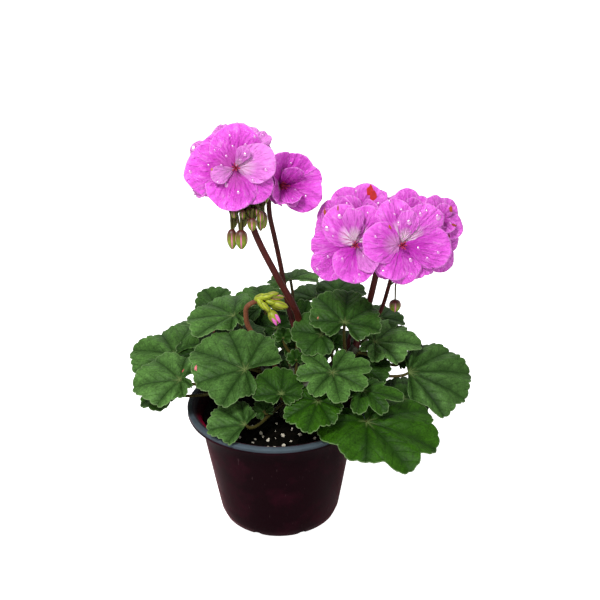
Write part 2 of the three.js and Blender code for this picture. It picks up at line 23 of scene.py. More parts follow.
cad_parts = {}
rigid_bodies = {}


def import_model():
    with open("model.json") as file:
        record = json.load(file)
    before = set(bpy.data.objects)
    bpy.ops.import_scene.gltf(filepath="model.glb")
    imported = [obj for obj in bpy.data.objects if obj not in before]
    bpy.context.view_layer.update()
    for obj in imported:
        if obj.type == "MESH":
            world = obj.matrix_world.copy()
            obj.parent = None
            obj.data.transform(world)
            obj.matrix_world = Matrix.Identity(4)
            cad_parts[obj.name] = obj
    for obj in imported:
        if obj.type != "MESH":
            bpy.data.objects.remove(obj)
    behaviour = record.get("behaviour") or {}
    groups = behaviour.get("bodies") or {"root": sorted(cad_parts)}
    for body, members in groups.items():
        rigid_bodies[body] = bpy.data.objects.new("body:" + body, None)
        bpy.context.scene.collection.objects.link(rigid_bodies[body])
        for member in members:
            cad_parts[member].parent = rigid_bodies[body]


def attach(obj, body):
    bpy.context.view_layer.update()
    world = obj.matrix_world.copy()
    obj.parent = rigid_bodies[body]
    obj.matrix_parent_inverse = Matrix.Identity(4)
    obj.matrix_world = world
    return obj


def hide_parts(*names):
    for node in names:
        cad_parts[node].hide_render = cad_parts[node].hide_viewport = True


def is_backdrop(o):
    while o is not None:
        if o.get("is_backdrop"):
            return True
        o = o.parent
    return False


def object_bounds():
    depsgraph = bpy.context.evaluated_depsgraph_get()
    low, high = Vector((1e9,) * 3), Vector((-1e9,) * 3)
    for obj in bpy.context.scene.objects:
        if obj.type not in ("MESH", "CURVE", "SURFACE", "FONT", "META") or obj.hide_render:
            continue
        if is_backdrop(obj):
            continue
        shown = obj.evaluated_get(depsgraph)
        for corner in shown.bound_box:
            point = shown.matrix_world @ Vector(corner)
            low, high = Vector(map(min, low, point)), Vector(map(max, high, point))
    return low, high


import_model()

MM = 0.001  # the tables below are in millimetres, and Blender's scene is in metres
cad_low, cad_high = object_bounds()
print("CAD box in mm:", [round(side / MM) for side in cad_high - cad_low])

# %% [markdown]
# ## Camera
#
# The plant is seen from a little above, about 25 degrees, from 0.8 m away through a short
# telephoto lens. The camera could be aimed with a constraint, but three plain directions
# (right, up and forward) are easier to reuse: later they also tell where a point of the
# picture lies on a petal, which is how single drops of water are placed.

# %% Camera
CAMERA_AT = Vector((14.876, -695.794, 480.004))
RIGHT = Vector((0.99990, -0.00597, -0.01262))
UP = Vector((0.01396, 0.42732, 0.90399))
FORWARD = Vector((0.0, 0.90408, -0.42736))
LENS, SENSOR, FRAME = 75.55, 36.0, 600  # lens and sensor in mm, picture in pixels

bpy.ops.object.camera_add()
camera = bpy.context.object
turned = Matrix((RIGHT, UP, -FORWARD)).transposed().to_4x4()
camera.matrix_world = Matrix.Translation(CAMERA_AT * MM) @ turned
camera.data.lens, camera.data.sensor_width = LENS, SENSOR
camera.data.clip_start = 0.05
bpy.context.scene.camera = camera


def sight(across, down):
    """The direction in which the camera sees a point of the picture."""
    step = SENSOR / LENS / FRAME
    ahead = FORWARD + RIGHT * (across - FRAME / 2) * step - UP * (down - FRAME / 2) * step
    return ahead.normalized()


print("camera at", [round(value) for value in CAMERA_AT], "mm")

# %% [markdown]
# ## Light and floor
#
# A plant for sale is shown in soft even light, so the room is white all round. It lights the
# plant at 0.6 only, and the lamps do the rest. The key lamp, 0.3 m wide, stands above and in
# front, a little to the left, for the shine on wet petals and the shadows between leaves. A
# weak fill comes from the right, and a weak rim lamp from behind. The floor is as white to
# the camera as the room. The Standard view keeps the strong magenta as it is, where a
# filmic one would grey it.

# %% Light and floor
scene = bpy.context.scene
scene.view_settings.view_transform = "Standard"
scene.world = bpy.data.worlds.new("white room")
scene.world.use_nodes = True
room = scene.world.node_tree
air = room.nodes["Background"]
air.inputs["Color"].default_value = (1.0, 1.0, 1.0, 1.0)
seen = room.nodes.new("ShaderNodeLightPath")
strength = room.nodes.new("ShaderNodeMapRange")
strength.inputs["To Min"].default_value = 0.6  # what lights the plant
strength.inputs["To Max"].default_value = 1.0  # what the camera sees
room.links.new(seen.outputs["Is Camera Ray"], strength.inputs["Value"])
room.links.new(strength.outputs["Result"], air.inputs["Strength"])


def lamp(name, place, size, power):
    """A square lamp at a place in metres, aimed at the plant's middle."""
    bpy.ops.object.light_add(type="AREA", location=place)
    light = bpy.context.object
    light.name = name
    light.data.size, light.data.energy = size, power
    light.rotation_euler = (PLANT_MIDDLE - Vector(place)).to_track_quat("-Z", "Y").to_euler()


PLANT_MIDDLE = Vector((0, 0, 0.15))
# Name, place, width in metres and power in watts.
lamp("key", (-0.4, -0.85, 1.25), 0.3, 18.5)
lamp("fill", (0.9, -0.5, 0.7), 0.6, 1.0)
lamp("rim", (0.2, 0.9, 1.0), 0.5, 2.0)

bpy.ops.mesh.primitive_plane_add(size=8)
floor = bpy.context.object
floor.name = "floor"
floor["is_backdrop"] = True

# %% [markdown]
# ## Small helpers for materials
#
# Colours are written as they are picked on a screen, in sRGB, and shaders want them linear.
# One function turns them, and one more adds a node with its settings and links.

# %% Colour and node helpers
def tone(code):
    """An sRGB colour such as "e454db" as a linear colour."""
    parts = [int(code[k : k + 2], 16) / 255 for k in (0, 2, 4)]
    return (*[c / 12.92 if c <= 0.04045 else ((c + 0.055) / 1.055) ** 2.4 for c in parts], 1.0)


def node(tree, kind, settings=(), links=()):
    """Adds a node, sets its inputs or options, links its inputs, and gives its first output."""
    new = tree.nodes.new("ShaderNode" + kind)
    for key, value in dict(settings).items():
        if isinstance(key, int) or key in new.inputs:
            new.inputs[key].default_value = value
        else:
            setattr(new, key, value)
    for key, source in dict(links).items():
        tree.links.new(source, new.inputs[key])
    return new.outputs[0]


def new_material(name, roughness, **settings):
    """A material with a Principled shader, and its tree and shader."""
    made = bpy.data.materials.new(name)
    made.use_nodes = True
    shader = made.node_tree.nodes["Principled BSDF"]
    shader.inputs["Roughness"].default_value = roughness
    for key, value in settings.items():
        shader.inputs[key.replace("_", " ")].default_value = value
    return made, made.node_tree, shader


print("magenta is", [round(part, 3) for part in tone("e454db")], "in linear light")

# %% Floor finish
paper, tree, shader = new_material("matte white paper", 0.9)
shader.inputs["Base Color"].default_value = tone("dcdcdc")
shader.inputs["Emission Color"].default_value = (1.0, 1.0, 1.0, 1.0)
# The camera sees the paper as bright as the room, and it lights the plant only by reflection.
seen = node(tree, "LightPath").node
tree.links.new(seen.outputs["Is Camera Ray"], shader.inputs["Emission Strength"])
floor.data.materials.append(paper)
print("floor finish:", paper.name)

# %% [markdown]
# ## Helpers that shape
#
# Leaves and petals are thin sheets that fan out from one point. By hand they could be drawn
# as outlines and filled, but then the fill has no rows that follow the veins. So each one
# starts as a flat grid whose points are carried to their places: one way along the grid
# goes round the fan, and the other way goes from the root to the margin. What the finish
# needs to know of a point, such as how far it is from a vein, is kept as an attribute.
#
# Stalks are round tubes along a curve, drawn as Blender's own curve and then turned to mesh.

# %% Sheets, tubes and joins
DOUBLED = 1e-6  # points closer than this, in metres, are one


def tidy(piece):
    """Merges doubled points and shades the piece smooth."""
    bpy.ops.object.select_all(action="DESELECT")
    piece.select_set(True)
    bpy.context.view_layer.objects.active = piece
    bpy.ops.object.mode_set(mode="EDIT")
    bpy.ops.mesh.select_all(action="SELECT")
    bpy.ops.mesh.remove_doubles(threshold=DOUBLED)
    bpy.ops.object.mode_set(mode="OBJECT")
    bpy.ops.object.shade_smooth()


def sheet(name, columns, rows, place):
    """A grid carried to place(u, v), with u from -1 to 1 round the fan and v from 0 at its
    root to 1 at its margin. place gives a point in mm and the point's notes."""
    bpy.ops.object.select_all(action="DESELECT")
    bpy.ops.mesh.primitive_grid_add(x_subdivisions=columns, y_subdivisions=rows, size=2)
    piece = bpy.context.object
    piece.name = name
    notes = {}
    for point in piece.data.vertices:
        spot, said = place(-point.co.x, (point.co.y + 1) / 2)
        point.co = spot * MM
        for key, value in said.items():
            notes.setdefault(key, []).append(value)
    for key, values in notes.items():
        piece.data.attributes.new(key, "FLOAT", "POINT").data.foreach_set("value", values)
    tidy(piece)
    return piece


def thicken(piece, thickness, *materials):
    """Gives a sheet its thickness, downwards, with the second material on its back."""
    for material in materials:
        piece.data.materials.append(material)
    wall = piece.modifiers.new("wall", "SOLIDIFY")
    wall.thickness, wall.offset = thickness * MM, -1
    wall.material_offset = len(materials) - 1
    bpy.context.view_layer.objects.active = piece
    bpy.ops.object.modifier_apply(modifier=wall.name)
    return piece


def tube(name, points, radii, material, round_steps=2):
    """A round tube through points in mm. radii, in mm too, are spread evenly along it."""
    bpy.ops.object.select_all(action="DESELECT")
    bpy.ops.curve.primitive_bezier_curve_add()
    line = bpy.context.object
    line.name = name
    spline = line.data.splines[0]
    spline.bezier_points.add(len(points) - 2)
    for k, (knot, point) in enumerate(zip(spline.bezier_points, points)):
        knot.co = Vector(point) * MM
        knot.handle_left_type = knot.handle_right_type = "AUTO"
        far = k / (len(points) - 1) * (len(radii) - 1)
        low = min(int(far), len(radii) - 2)
        knot.radius = radii[low] + (radii[low + 1] - radii[low]) * (far - low)
    line.data.bevel_depth, line.data.bevel_resolution = MM, round_steps
    line.data.resolution_u, line.data.use_fill_caps = 3, True
    line.data.materials.append(material)
    bpy.ops.object.convert(target="MESH")
    made = bpy.context.object
    tidy(made)
    return made


def join(name, pieces):
    """Several objects as one, under a new name."""
    bpy.ops.object.select_all(action="DESELECT")
    for piece in pieces:
        piece.select_set(True)
    bpy.context.view_layer.objects.active = pieces[0]
    if len(pieces) > 1:
        bpy.ops.object.join()
    pieces[0].name = pieces[0].data.name = name
    return pieces[0]


def copies(name, model, places):
    """Copies of a model, each with its own mesh, joined to one piece. The model goes."""
    made = []
    for place in places:
        copy = bpy.data.objects.new(name, model.data.copy())
        bpy.context.collection.objects.link(copy)
        copy.data.transform(place)
        made.append(copy)
    bpy.data.objects.remove(model)
    return join(name, made)


def settle(piece, slot, *nodes):
    """A finished piece rides on the plant and stands for its CAD nodes."""
    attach(piece, "root")
    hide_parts(*nodes)


def bezier(points, share):
    """A point of the cubic curve that four points steer."""
    a, b, c, d = (Vector(point) for point in points)
    left = 1 - share
    return a * left**3 + b * 3 * left**2 * share + c * 3 * left * share**2 + d * share**3


def catmull(points, count):
    """Points along a smooth curve that passes through the given ones."""
    knots = [Vector(p) for p in points]
    knots = [knots[0] * 2 - knots[1], *knots, knots[-1] * 2 - knots[-2]]
    spans, made = len(knots) - 3, []
    for k in range(count + 1):
        far = min(k / count * spans, spans - 1e-6)
        i, t = int(far), far - int(far)
        a, b, c, d = knots[i : i + 4]
        square, cube = 2 * a - 5 * b + 4 * c - d, 3 * b - a - 3 * c + d
        made.append(0.5 * (2 * b + (c - a) * t + square * t * t + cube * t**3))
    return made


def heading(azimuth, elevation):
    """The direction with an azimuth and an elevation in degrees."""
    a, e = math.radians(azimuth), math.radians(elevation)
    return Vector((math.cos(a) * math.cos(e), math.sin(a) * math.cos(e), math.sin(e)))


def clamp(value, low=0.0, high=1.0):
    return max(low, min(high, value))


def smooth(value):
    """Eases a value from 0 to 1, with a soft start and a soft end."""
    value = clamp(value)
    return value * value * (3 - 2 * value)


print("helpers ready")

# %% [markdown]
# ## Pot: blow-moulded polypropylene
#
# A nursery pot of this size is a thin tapered cup with a turned-out flange, rounded heel and
# notches round its foot that let water out. It could be turned from a profile with a screw
# modifier, but pulling ring after ring out of a circle shows how each ring has its own
# radius and height. The notches are cut with round bars, as the mould's inserts do.

# %% Pot shape
POT_OUTSIDE = [  # radius and height of each ring in mm, from the foot up
    (33.4, 0.4), (36.6, 3.0), (38.5, 7.6), (39.5, 13), (41.1, 22), (44.5, 42), (48.0, 62),
    (50.4, 75.2), (51.0, 75.9), (55.6, 76.0), (56.3, 75.5), (57.1, 75.7), (57.5, 76.6),
    (57.45, 77.5), (57.15, 77.9), (57.45, 78.3), (57.5, 79.2), (57.0, 79.9), (56.2, 80.1),
    (54.2, 80.0), (53.4, 79.7), (52.6, 78.6),
]
POT_INSIDE = [  # and from the mouth down again
    (49.3, 75.6), (46.6, 62), (43.1, 42), (38.2, 13), (36.6, 6.0), (33.2, 2.2), (29.6, 1.4),
]
POT_FOOT = 31.0  # radius of the flat underside, in mm

bpy.ops.object.select_all(action="DESELECT")
bpy.ops.mesh.primitive_circle_add(vertices=144, radius=POT_FOOT * MM, location=(0, 0, 0))
pot = bpy.context.object
pot.name = "pot_shell"
bpy.ops.object.mode_set(mode="EDIT")
bpy.ops.mesh.select_all(action="SELECT")
radius, height = POT_FOOT, 0.0
for wide, high in POT_OUTSIDE + POT_INSIDE:
    step, widening = (high - height) * MM, wide / radius
    bpy.ops.mesh.extrude_region_move(TRANSFORM_OT_translate={"value": (0, 0, step)})
    bpy.ops.transform.resize(value=(widening, widening, 1), center_override=(0, 0, 0))
    radius, height = wide, high
bpy.ops.mesh.edge_face_add()  # the last ring is still selected: it becomes the pot's floor
# The first ring is the underside. Its points are picked by height and closed with a face.
bpy.ops.mesh.select_all(action="DESELECT")
shell = bmesh.from_edit_mesh(pot.data)
for point in shell.verts:
    point.select = abs(point.co.z) < DOUBLED
shell.select_flush(True)
bpy.ops.mesh.edge_face_add()
bpy.ops.mesh.select_all(action="SELECT")
bpy.ops.mesh.normals_make_consistent(inside=False)
bpy.ops.object.mode_set(mode="OBJECT")
print("pot:", len(pot.data.polygons), "faces")

# %% Notches round the foot
NOTCHES, NOTCH_RADIUS = 8, 4.0
BAR_LENGTH, BAR_AWAY = 14, 39  # in mm: long enough to pass the wall, and its middle's distance
bars = []
for k in range(NOTCHES):
    away = heading(360 * (k + 0.5) / NOTCHES, 0)
    bpy.ops.mesh.primitive_cylinder_add(
        vertices=24, radius=NOTCH_RADIUS * MM, depth=BAR_LENGTH * MM,
        location=away * BAR_AWAY * MM, rotation=away.to_track_quat("Z", "X").to_euler(),
    )
    bars.append(bpy.context.object)
bars = join("notch_bars", bars)
cut = pot.modifiers.new("notches", "BOOLEAN")
cut.object = bars
bpy.ops.object.select_all(action="DESELECT")
bpy.context.view_layer.objects.active = pot
pot.select_set(True)
bpy.ops.object.modifier_apply(modifier=cut.name)
bpy.data.objects.remove(bars)
bpy.ops.object.shade_smooth_by_angle(angle=math.radians(38))
settle(pot, "pot", "pot")
print("pot with notches:", len(pot.data.polygons), "faces")

# %% [markdown]
# ## Pot finish
#
# The plastic is recycled, dark, with a hint of maroon, and its moulded surface is satin. It
# mirrors little: what shows its round form is a film of fine dust, a weak maroon sheen that
# grows towards the sides. Dust and small scuffs dull it in patches. The upper band of the
# flange is painted a bluish grey: a painted reflection of the room. A pot could be a flat
# black, but then its form is lost.

# %% Pot material: recycled polypropylene, moulded
plastic, tree, shader = new_material(
    "recycled polypropylene, moulded satin", 0.45, IOR=1.49, Specular_IOR_Level=0.02,
    Sheen_Weight=0.3, Sheen_Roughness=0.3,
)
shader.inputs["Sheen Tint"].default_value = tone("a8103c")
spot = node(tree, "TexCoord")
where = spot.node.outputs["Object"]
parts = node(tree, "SeparateXYZ", {}, {0: where})
high = parts.node.outputs["Z"]
# A painted reflection lies on the flange above 77.6 mm. It is at full strength where the
# flange is more than 54.5 mm off the middle, and a quarter as strong further in.
rim_reflection = node(tree, "MapRange", {"From Min": 0.0773, "From Max": 0.0779}, {"Value": high})
level = node(tree, "CombineXYZ", {}, {0: parts.node.outputs["X"], 1: parts.node.outputs["Y"]})
away = node(tree, "VectorMath", {"operation": "LENGTH"}, {0: level}).node.outputs["Value"]
span = {"From Min": 0.054, "From Max": 0.055, "To Min": 0.25}
reflection_outer = node(tree, "MapRange", span, {"Value": away})
rim_reflection = node(tree, "Math", {"operation": "MULTIPLY"}, {0: rim_reflection, 1: reflection_outer})
clouds = node(tree, "TexNoise", {"Scale": 45, "Detail": 6, "Roughness": 0.6}, {"Vector": where})
dust = node(tree, "MapRange", {"From Min": 0.5, "From Max": 0.78}, {"Value": clouds})
body = node(tree, "MixRGB", {1: tone("15050a"), 2: tone("2c0a16")}, {0: dust})
# Scuffs are thin, 0.3 mm, and run up and down, so the noise is stretched.
stretch = node(tree, "Mapping", {"Scale": (900, 900, 90)}, {"Vector": where})
marks = node(tree, "TexNoise", {"Scale": 1, "Detail": 2}, {"Vector": stretch})
scuff = node(tree, "MapRange", {"From Min": 0.69, "From Max": 0.76, "To Max": 0.35}, {"Value": marks})
body = node(tree, "MixRGB", {2: tone("5a4448")}, {0: scuff, 1: body})
# The cloudy bluish grey of the painted reflection on the flange.
edge = node(tree, "MixRGB", {1: tone("262d31"), 2: tone("586670")}, {0: clouds})
mixed = node(tree, "MixRGB", {}, {0: rim_reflection, 1: body, 2: edge})
tree.links.new(mixed, shader.inputs["Base Color"])
rough = node(tree, "MapRange", {"To Min": 0.34, "To Max": 0.55}, {"Value": dust})
tree.links.new(rough, shader.inputs["Roughness"])
grain = node(tree, "TexNoise", {"Scale": 1400, "Detail": 2}, {"Vector": where})
bump = node(tree, "Bump", {"Strength": 0.08, "Distance": 0.0002}, {"Height": grain})
tree.links.new(bump, shader.inputs["Normal"])
pot.data.materials.clear()
pot.data.materials.append(plastic)
print("pot finish:", plastic.name)

# %% [markdown]
# ## Soil: peat, bark crumbs and perlite
#
# Potting soil is nearly black when wet. Its surface is a bed of crumbs 1 to 3 mm wide with
# white grains of perlite. The bed is a round sheet with a rough surface, pulled down at its
# edge to fill the pot. The crumbs and grains that lie on it are copies of one lump each.

# %% Soil bed
SOIL_TOP, SOIL_EDGE, SOIL_MOUND = 71.0, 48.0, 2.5  # height, radius and mound in mm


def soil_height(x, y):
    """Height of the soil over a point, in mm."""
    away = math.hypot(x, y) / SOIL_EDGE
    lumps = noise.fractal(Vector((x, y, 0)) / 5.5, 1.0, 2.0, 4) * 1.1
    return SOIL_TOP + SOIL_MOUND * (1 - away**2) + lumps * (1 - away**8) - 0.8


def soil_place(u, v):
    """Carries a point of the grid to the soil's surface."""
    angle, away = u * math.pi, v * SOIL_EDGE
    x, y = away * math.cos(angle), away * math.sin(angle)
    return Vector((x, y, soil_height(x, y))), {}


soil = sheet("soil_bed", 160, 60, soil_place)
# Its edge is pulled down along the pot's wall, to 14 mm and then to 4 mm above the pot's
# underside, narrower each time, and closed with a face. The squeeze to 0.2 levels its waves.
bpy.ops.object.mode_set(mode="EDIT")
bpy.ops.mesh.select_all(action="DESELECT")
bpy.ops.mesh.select_mode(type="EDGE")
bpy.ops.mesh.select_non_manifold()
bpy.ops.mesh.extrude_region_move(TRANSFORM_OT_translate={"value": (0, 0, -56 * MM)})
bpy.ops.transform.resize(value=(0.78, 0.78, 0.2), center_override=(0, 0, 14 * MM))
bpy.ops.mesh.extrude_region_move(TRANSFORM_OT_translate={"value": (0, 0, -10 * MM)})
bpy.ops.transform.resize(value=(0.76, 0.76, 1), center_override=(0, 0, 0))
bpy.ops.mesh.edge_face_add()
bpy.ops.mesh.select_mode(type="VERT")
bpy.ops.object.mode_set(mode="OBJECT")
print("soil bed:", len(soil.data.polygons), "faces")

# %% Crumbs and perlite
dice = random.Random(7)


def lump(name, roughness):
    """One small lump, 1 mm in radius, with a broken surface."""
    bpy.ops.object.select_all(action="DESELECT")
    bpy.ops.mesh.primitive_ico_sphere_add(subdivisions=2, radius=1)
    made = bpy.context.object
    made.name = name
    for point in made.data.vertices:
        point.co *= 1 + roughness * noise.noise(point.co * 1.7)
    return made


def lies_at(x, y, size, lift=0.3):
    """A place on the soil for a lump of that size, turned and squeezed by chance."""
    spin = Matrix.Rotation(dice.uniform(0, math.tau), 4, "Z")
    turn = spin @ Matrix.Rotation(dice.uniform(0, 3), 4, "X")
    wide, long, thick = dice.uniform(0.7, 1.3), dice.uniform(0.6, 1.1), dice.uniform(0.5, 0.8)
    squeeze = Matrix.Diagonal((wide, long, thick, 1))
    spot = Vector((x, y, soil_height(x, y) + size * lift)) * MM
    return Matrix.Translation(spot) @ turn @ squeeze @ Matrix.Scale(size * MM, 4)


def chance_spot():
    """A point of the soil bed by chance, as likely at its edge as in its middle."""
    angle, away = dice.uniform(0, math.tau), SOIL_EDGE * 0.95 * math.sqrt(dice.random())
    return away * math.cos(angle), away * math.sin(angle)


crumb_spots = [lies_at(*chance_spot(), dice.uniform(0.5, 1.5)) for _ in range(420)]
crumbs = copies("soil_crumbs", lump("crumb", 0.7), crumb_spots)
# Some grains are in sight between the leaves; the rest lie about by chance.
GRAINS_SEEN = [  # points of the picture
    (275, 432), (292, 430), (275, 439), (268, 440), (268, 447), (291, 441), (277, 425),
    (248, 429), (315, 437), (283, 436), (261, 434), (300, 435), (284, 445), (240, 437),
]
grain_spots = []
for across, down in GRAINS_SEEN:
    ray = sight(across, down)
    reach = (SOIL_TOP + 1 - CAMERA_AT.z) / ray.z
    spot = CAMERA_AT + ray * reach
    if math.hypot(spot.x, spot.y) < SOIL_EDGE * 0.96:
        grain_spots.append(lies_at(spot.x, spot.y, dice.uniform(0.7, 1.3), 0.5))
grain_spots += [lies_at(*chance_spot(), dice.uniform(0.5, 1.2), 0.4) for _ in range(36)]
perlite = copies("perlite_grains", lump("grain", 0.5), grain_spots)
for piece in (soil, crumbs, perlite):
    settle(piece, "soil", "soil")
print("crumbs and grains:", len(crumbs.data.polygons) + len(perlite.data.polygons), "faces")

# %% Soil materials: damp peat and expanded perlite
peat, tree, shader = new_material("damp peat and bark", 0.9, Specular_IOR_Level=0.05)
where = node(tree, "TexCoord").node.outputs["Object"]
mottle = node(tree, "TexNoise", {"Scale": 320, "Detail": 5, "Roughness": 0.7}, {"Vector": where})
spread = node(tree, "MapRange", {"From Min": 0.35, "From Max": 0.72}, {"Value": mottle})
brown = node(tree, "MixRGB", {1: tone("020201"), 2: tone("0e0a06")}, {0: spread})
tree.links.new(brown, shader.inputs["Base Color"])
bump = node(tree, "Bump", {"Strength": 0.6, "Distance": 0.0006}, {"Height": mottle})
tree.links.new(bump, shader.inputs["Normal"])
soil.data.materials.append(peat)
crumbs.data.materials.append(peat)

stone, tree, shader = new_material("expanded perlite", 0.8)
where = node(tree, "TexCoord").node.outputs["Object"]
pores = node(tree, "TexNoise", {"Scale": 1500, "Detail": 3}, {"Vector": where})
chalk = node(tree, "MixRGB", {1: tone("8f8672"), 2: tone("efe8d6")}, {0: pores})
tree.links.new(chalk, shader.inputs["Base Color"])
bump = node(tree, "Bump", {"Strength": 0.4, "Distance": 0.0003}, {"Height": pores})
tree.links.new(bump, shader.inputs["Normal"])
perlite.data.materials.append(stone)
print("soil finishes:", peat.name, "and", stone.name)

# %% [markdown]
# ## Stem and shoots
#
# A young plant has one soft stem that forks low down. Each shoot is a tube with slight
# swellings where leaves grew. The four shoots are joined, since they are one living thing.

# %% Stem
SHOOTS = {  # the four points of each shoot's curve, and its radius at both ends, in mm
    "trunk": (((4, -6, 44), (4, -6, 62), (5, -5, 78), (8, -2, 96)), (4.6, 4.2)),
    "middle": (((7, -3, 90), (10, 2, 100), (15, 7, 108), (18, 11, 116)), (4.0, 3.0)),
    "left": (((6, -4, 84), (-2, -2, 94), (-8, 4, 102), (-13, 10, 112)), (3.6, 2.6)),
    "right": (((7, -3, 86), (20, 1, 91), (38, 7, 98), (50, 12, 112)), (3.7, 2.8)),
}

bark, tree, shader = new_material("young geranium bark", 0.55)
where = node(tree, "TexCoord").node.outputs["Object"]
patches = node(tree, "TexNoise", {"Scale": 160, "Detail": 4}, {"Vector": where})
green = node(tree, "MixRGB", {1: tone("1c180c"), 2: tone("363c1c")}, {0: patches})
tree.links.new(green, shader.inputs["Base Color"])
bump = node(tree, "Bump", {"Strength": 0.3, "Distance": 0.0005}, {"Height": patches})
tree.links.new(bump, shader.inputs["Normal"])

SWELLING = 0.35  # in mm, where a leaf grew, at every third point of a shoot
branches = []
for name, (points, (low, high)) in SHOOTS.items():
    curve = [bezier(points, k / 10) for k in range(11)]
    radii = [low + (high - low) * k / 10 + (SWELLING if k % 3 == 1 else 0) for k in range(11)]
    branches.append(tube(name, curve, radii, bark, 3))
stem = join("stem_branches", branches)
settle(stem, "stem", "stem")
print("stem:", len(stem.data.polygons), "faces")
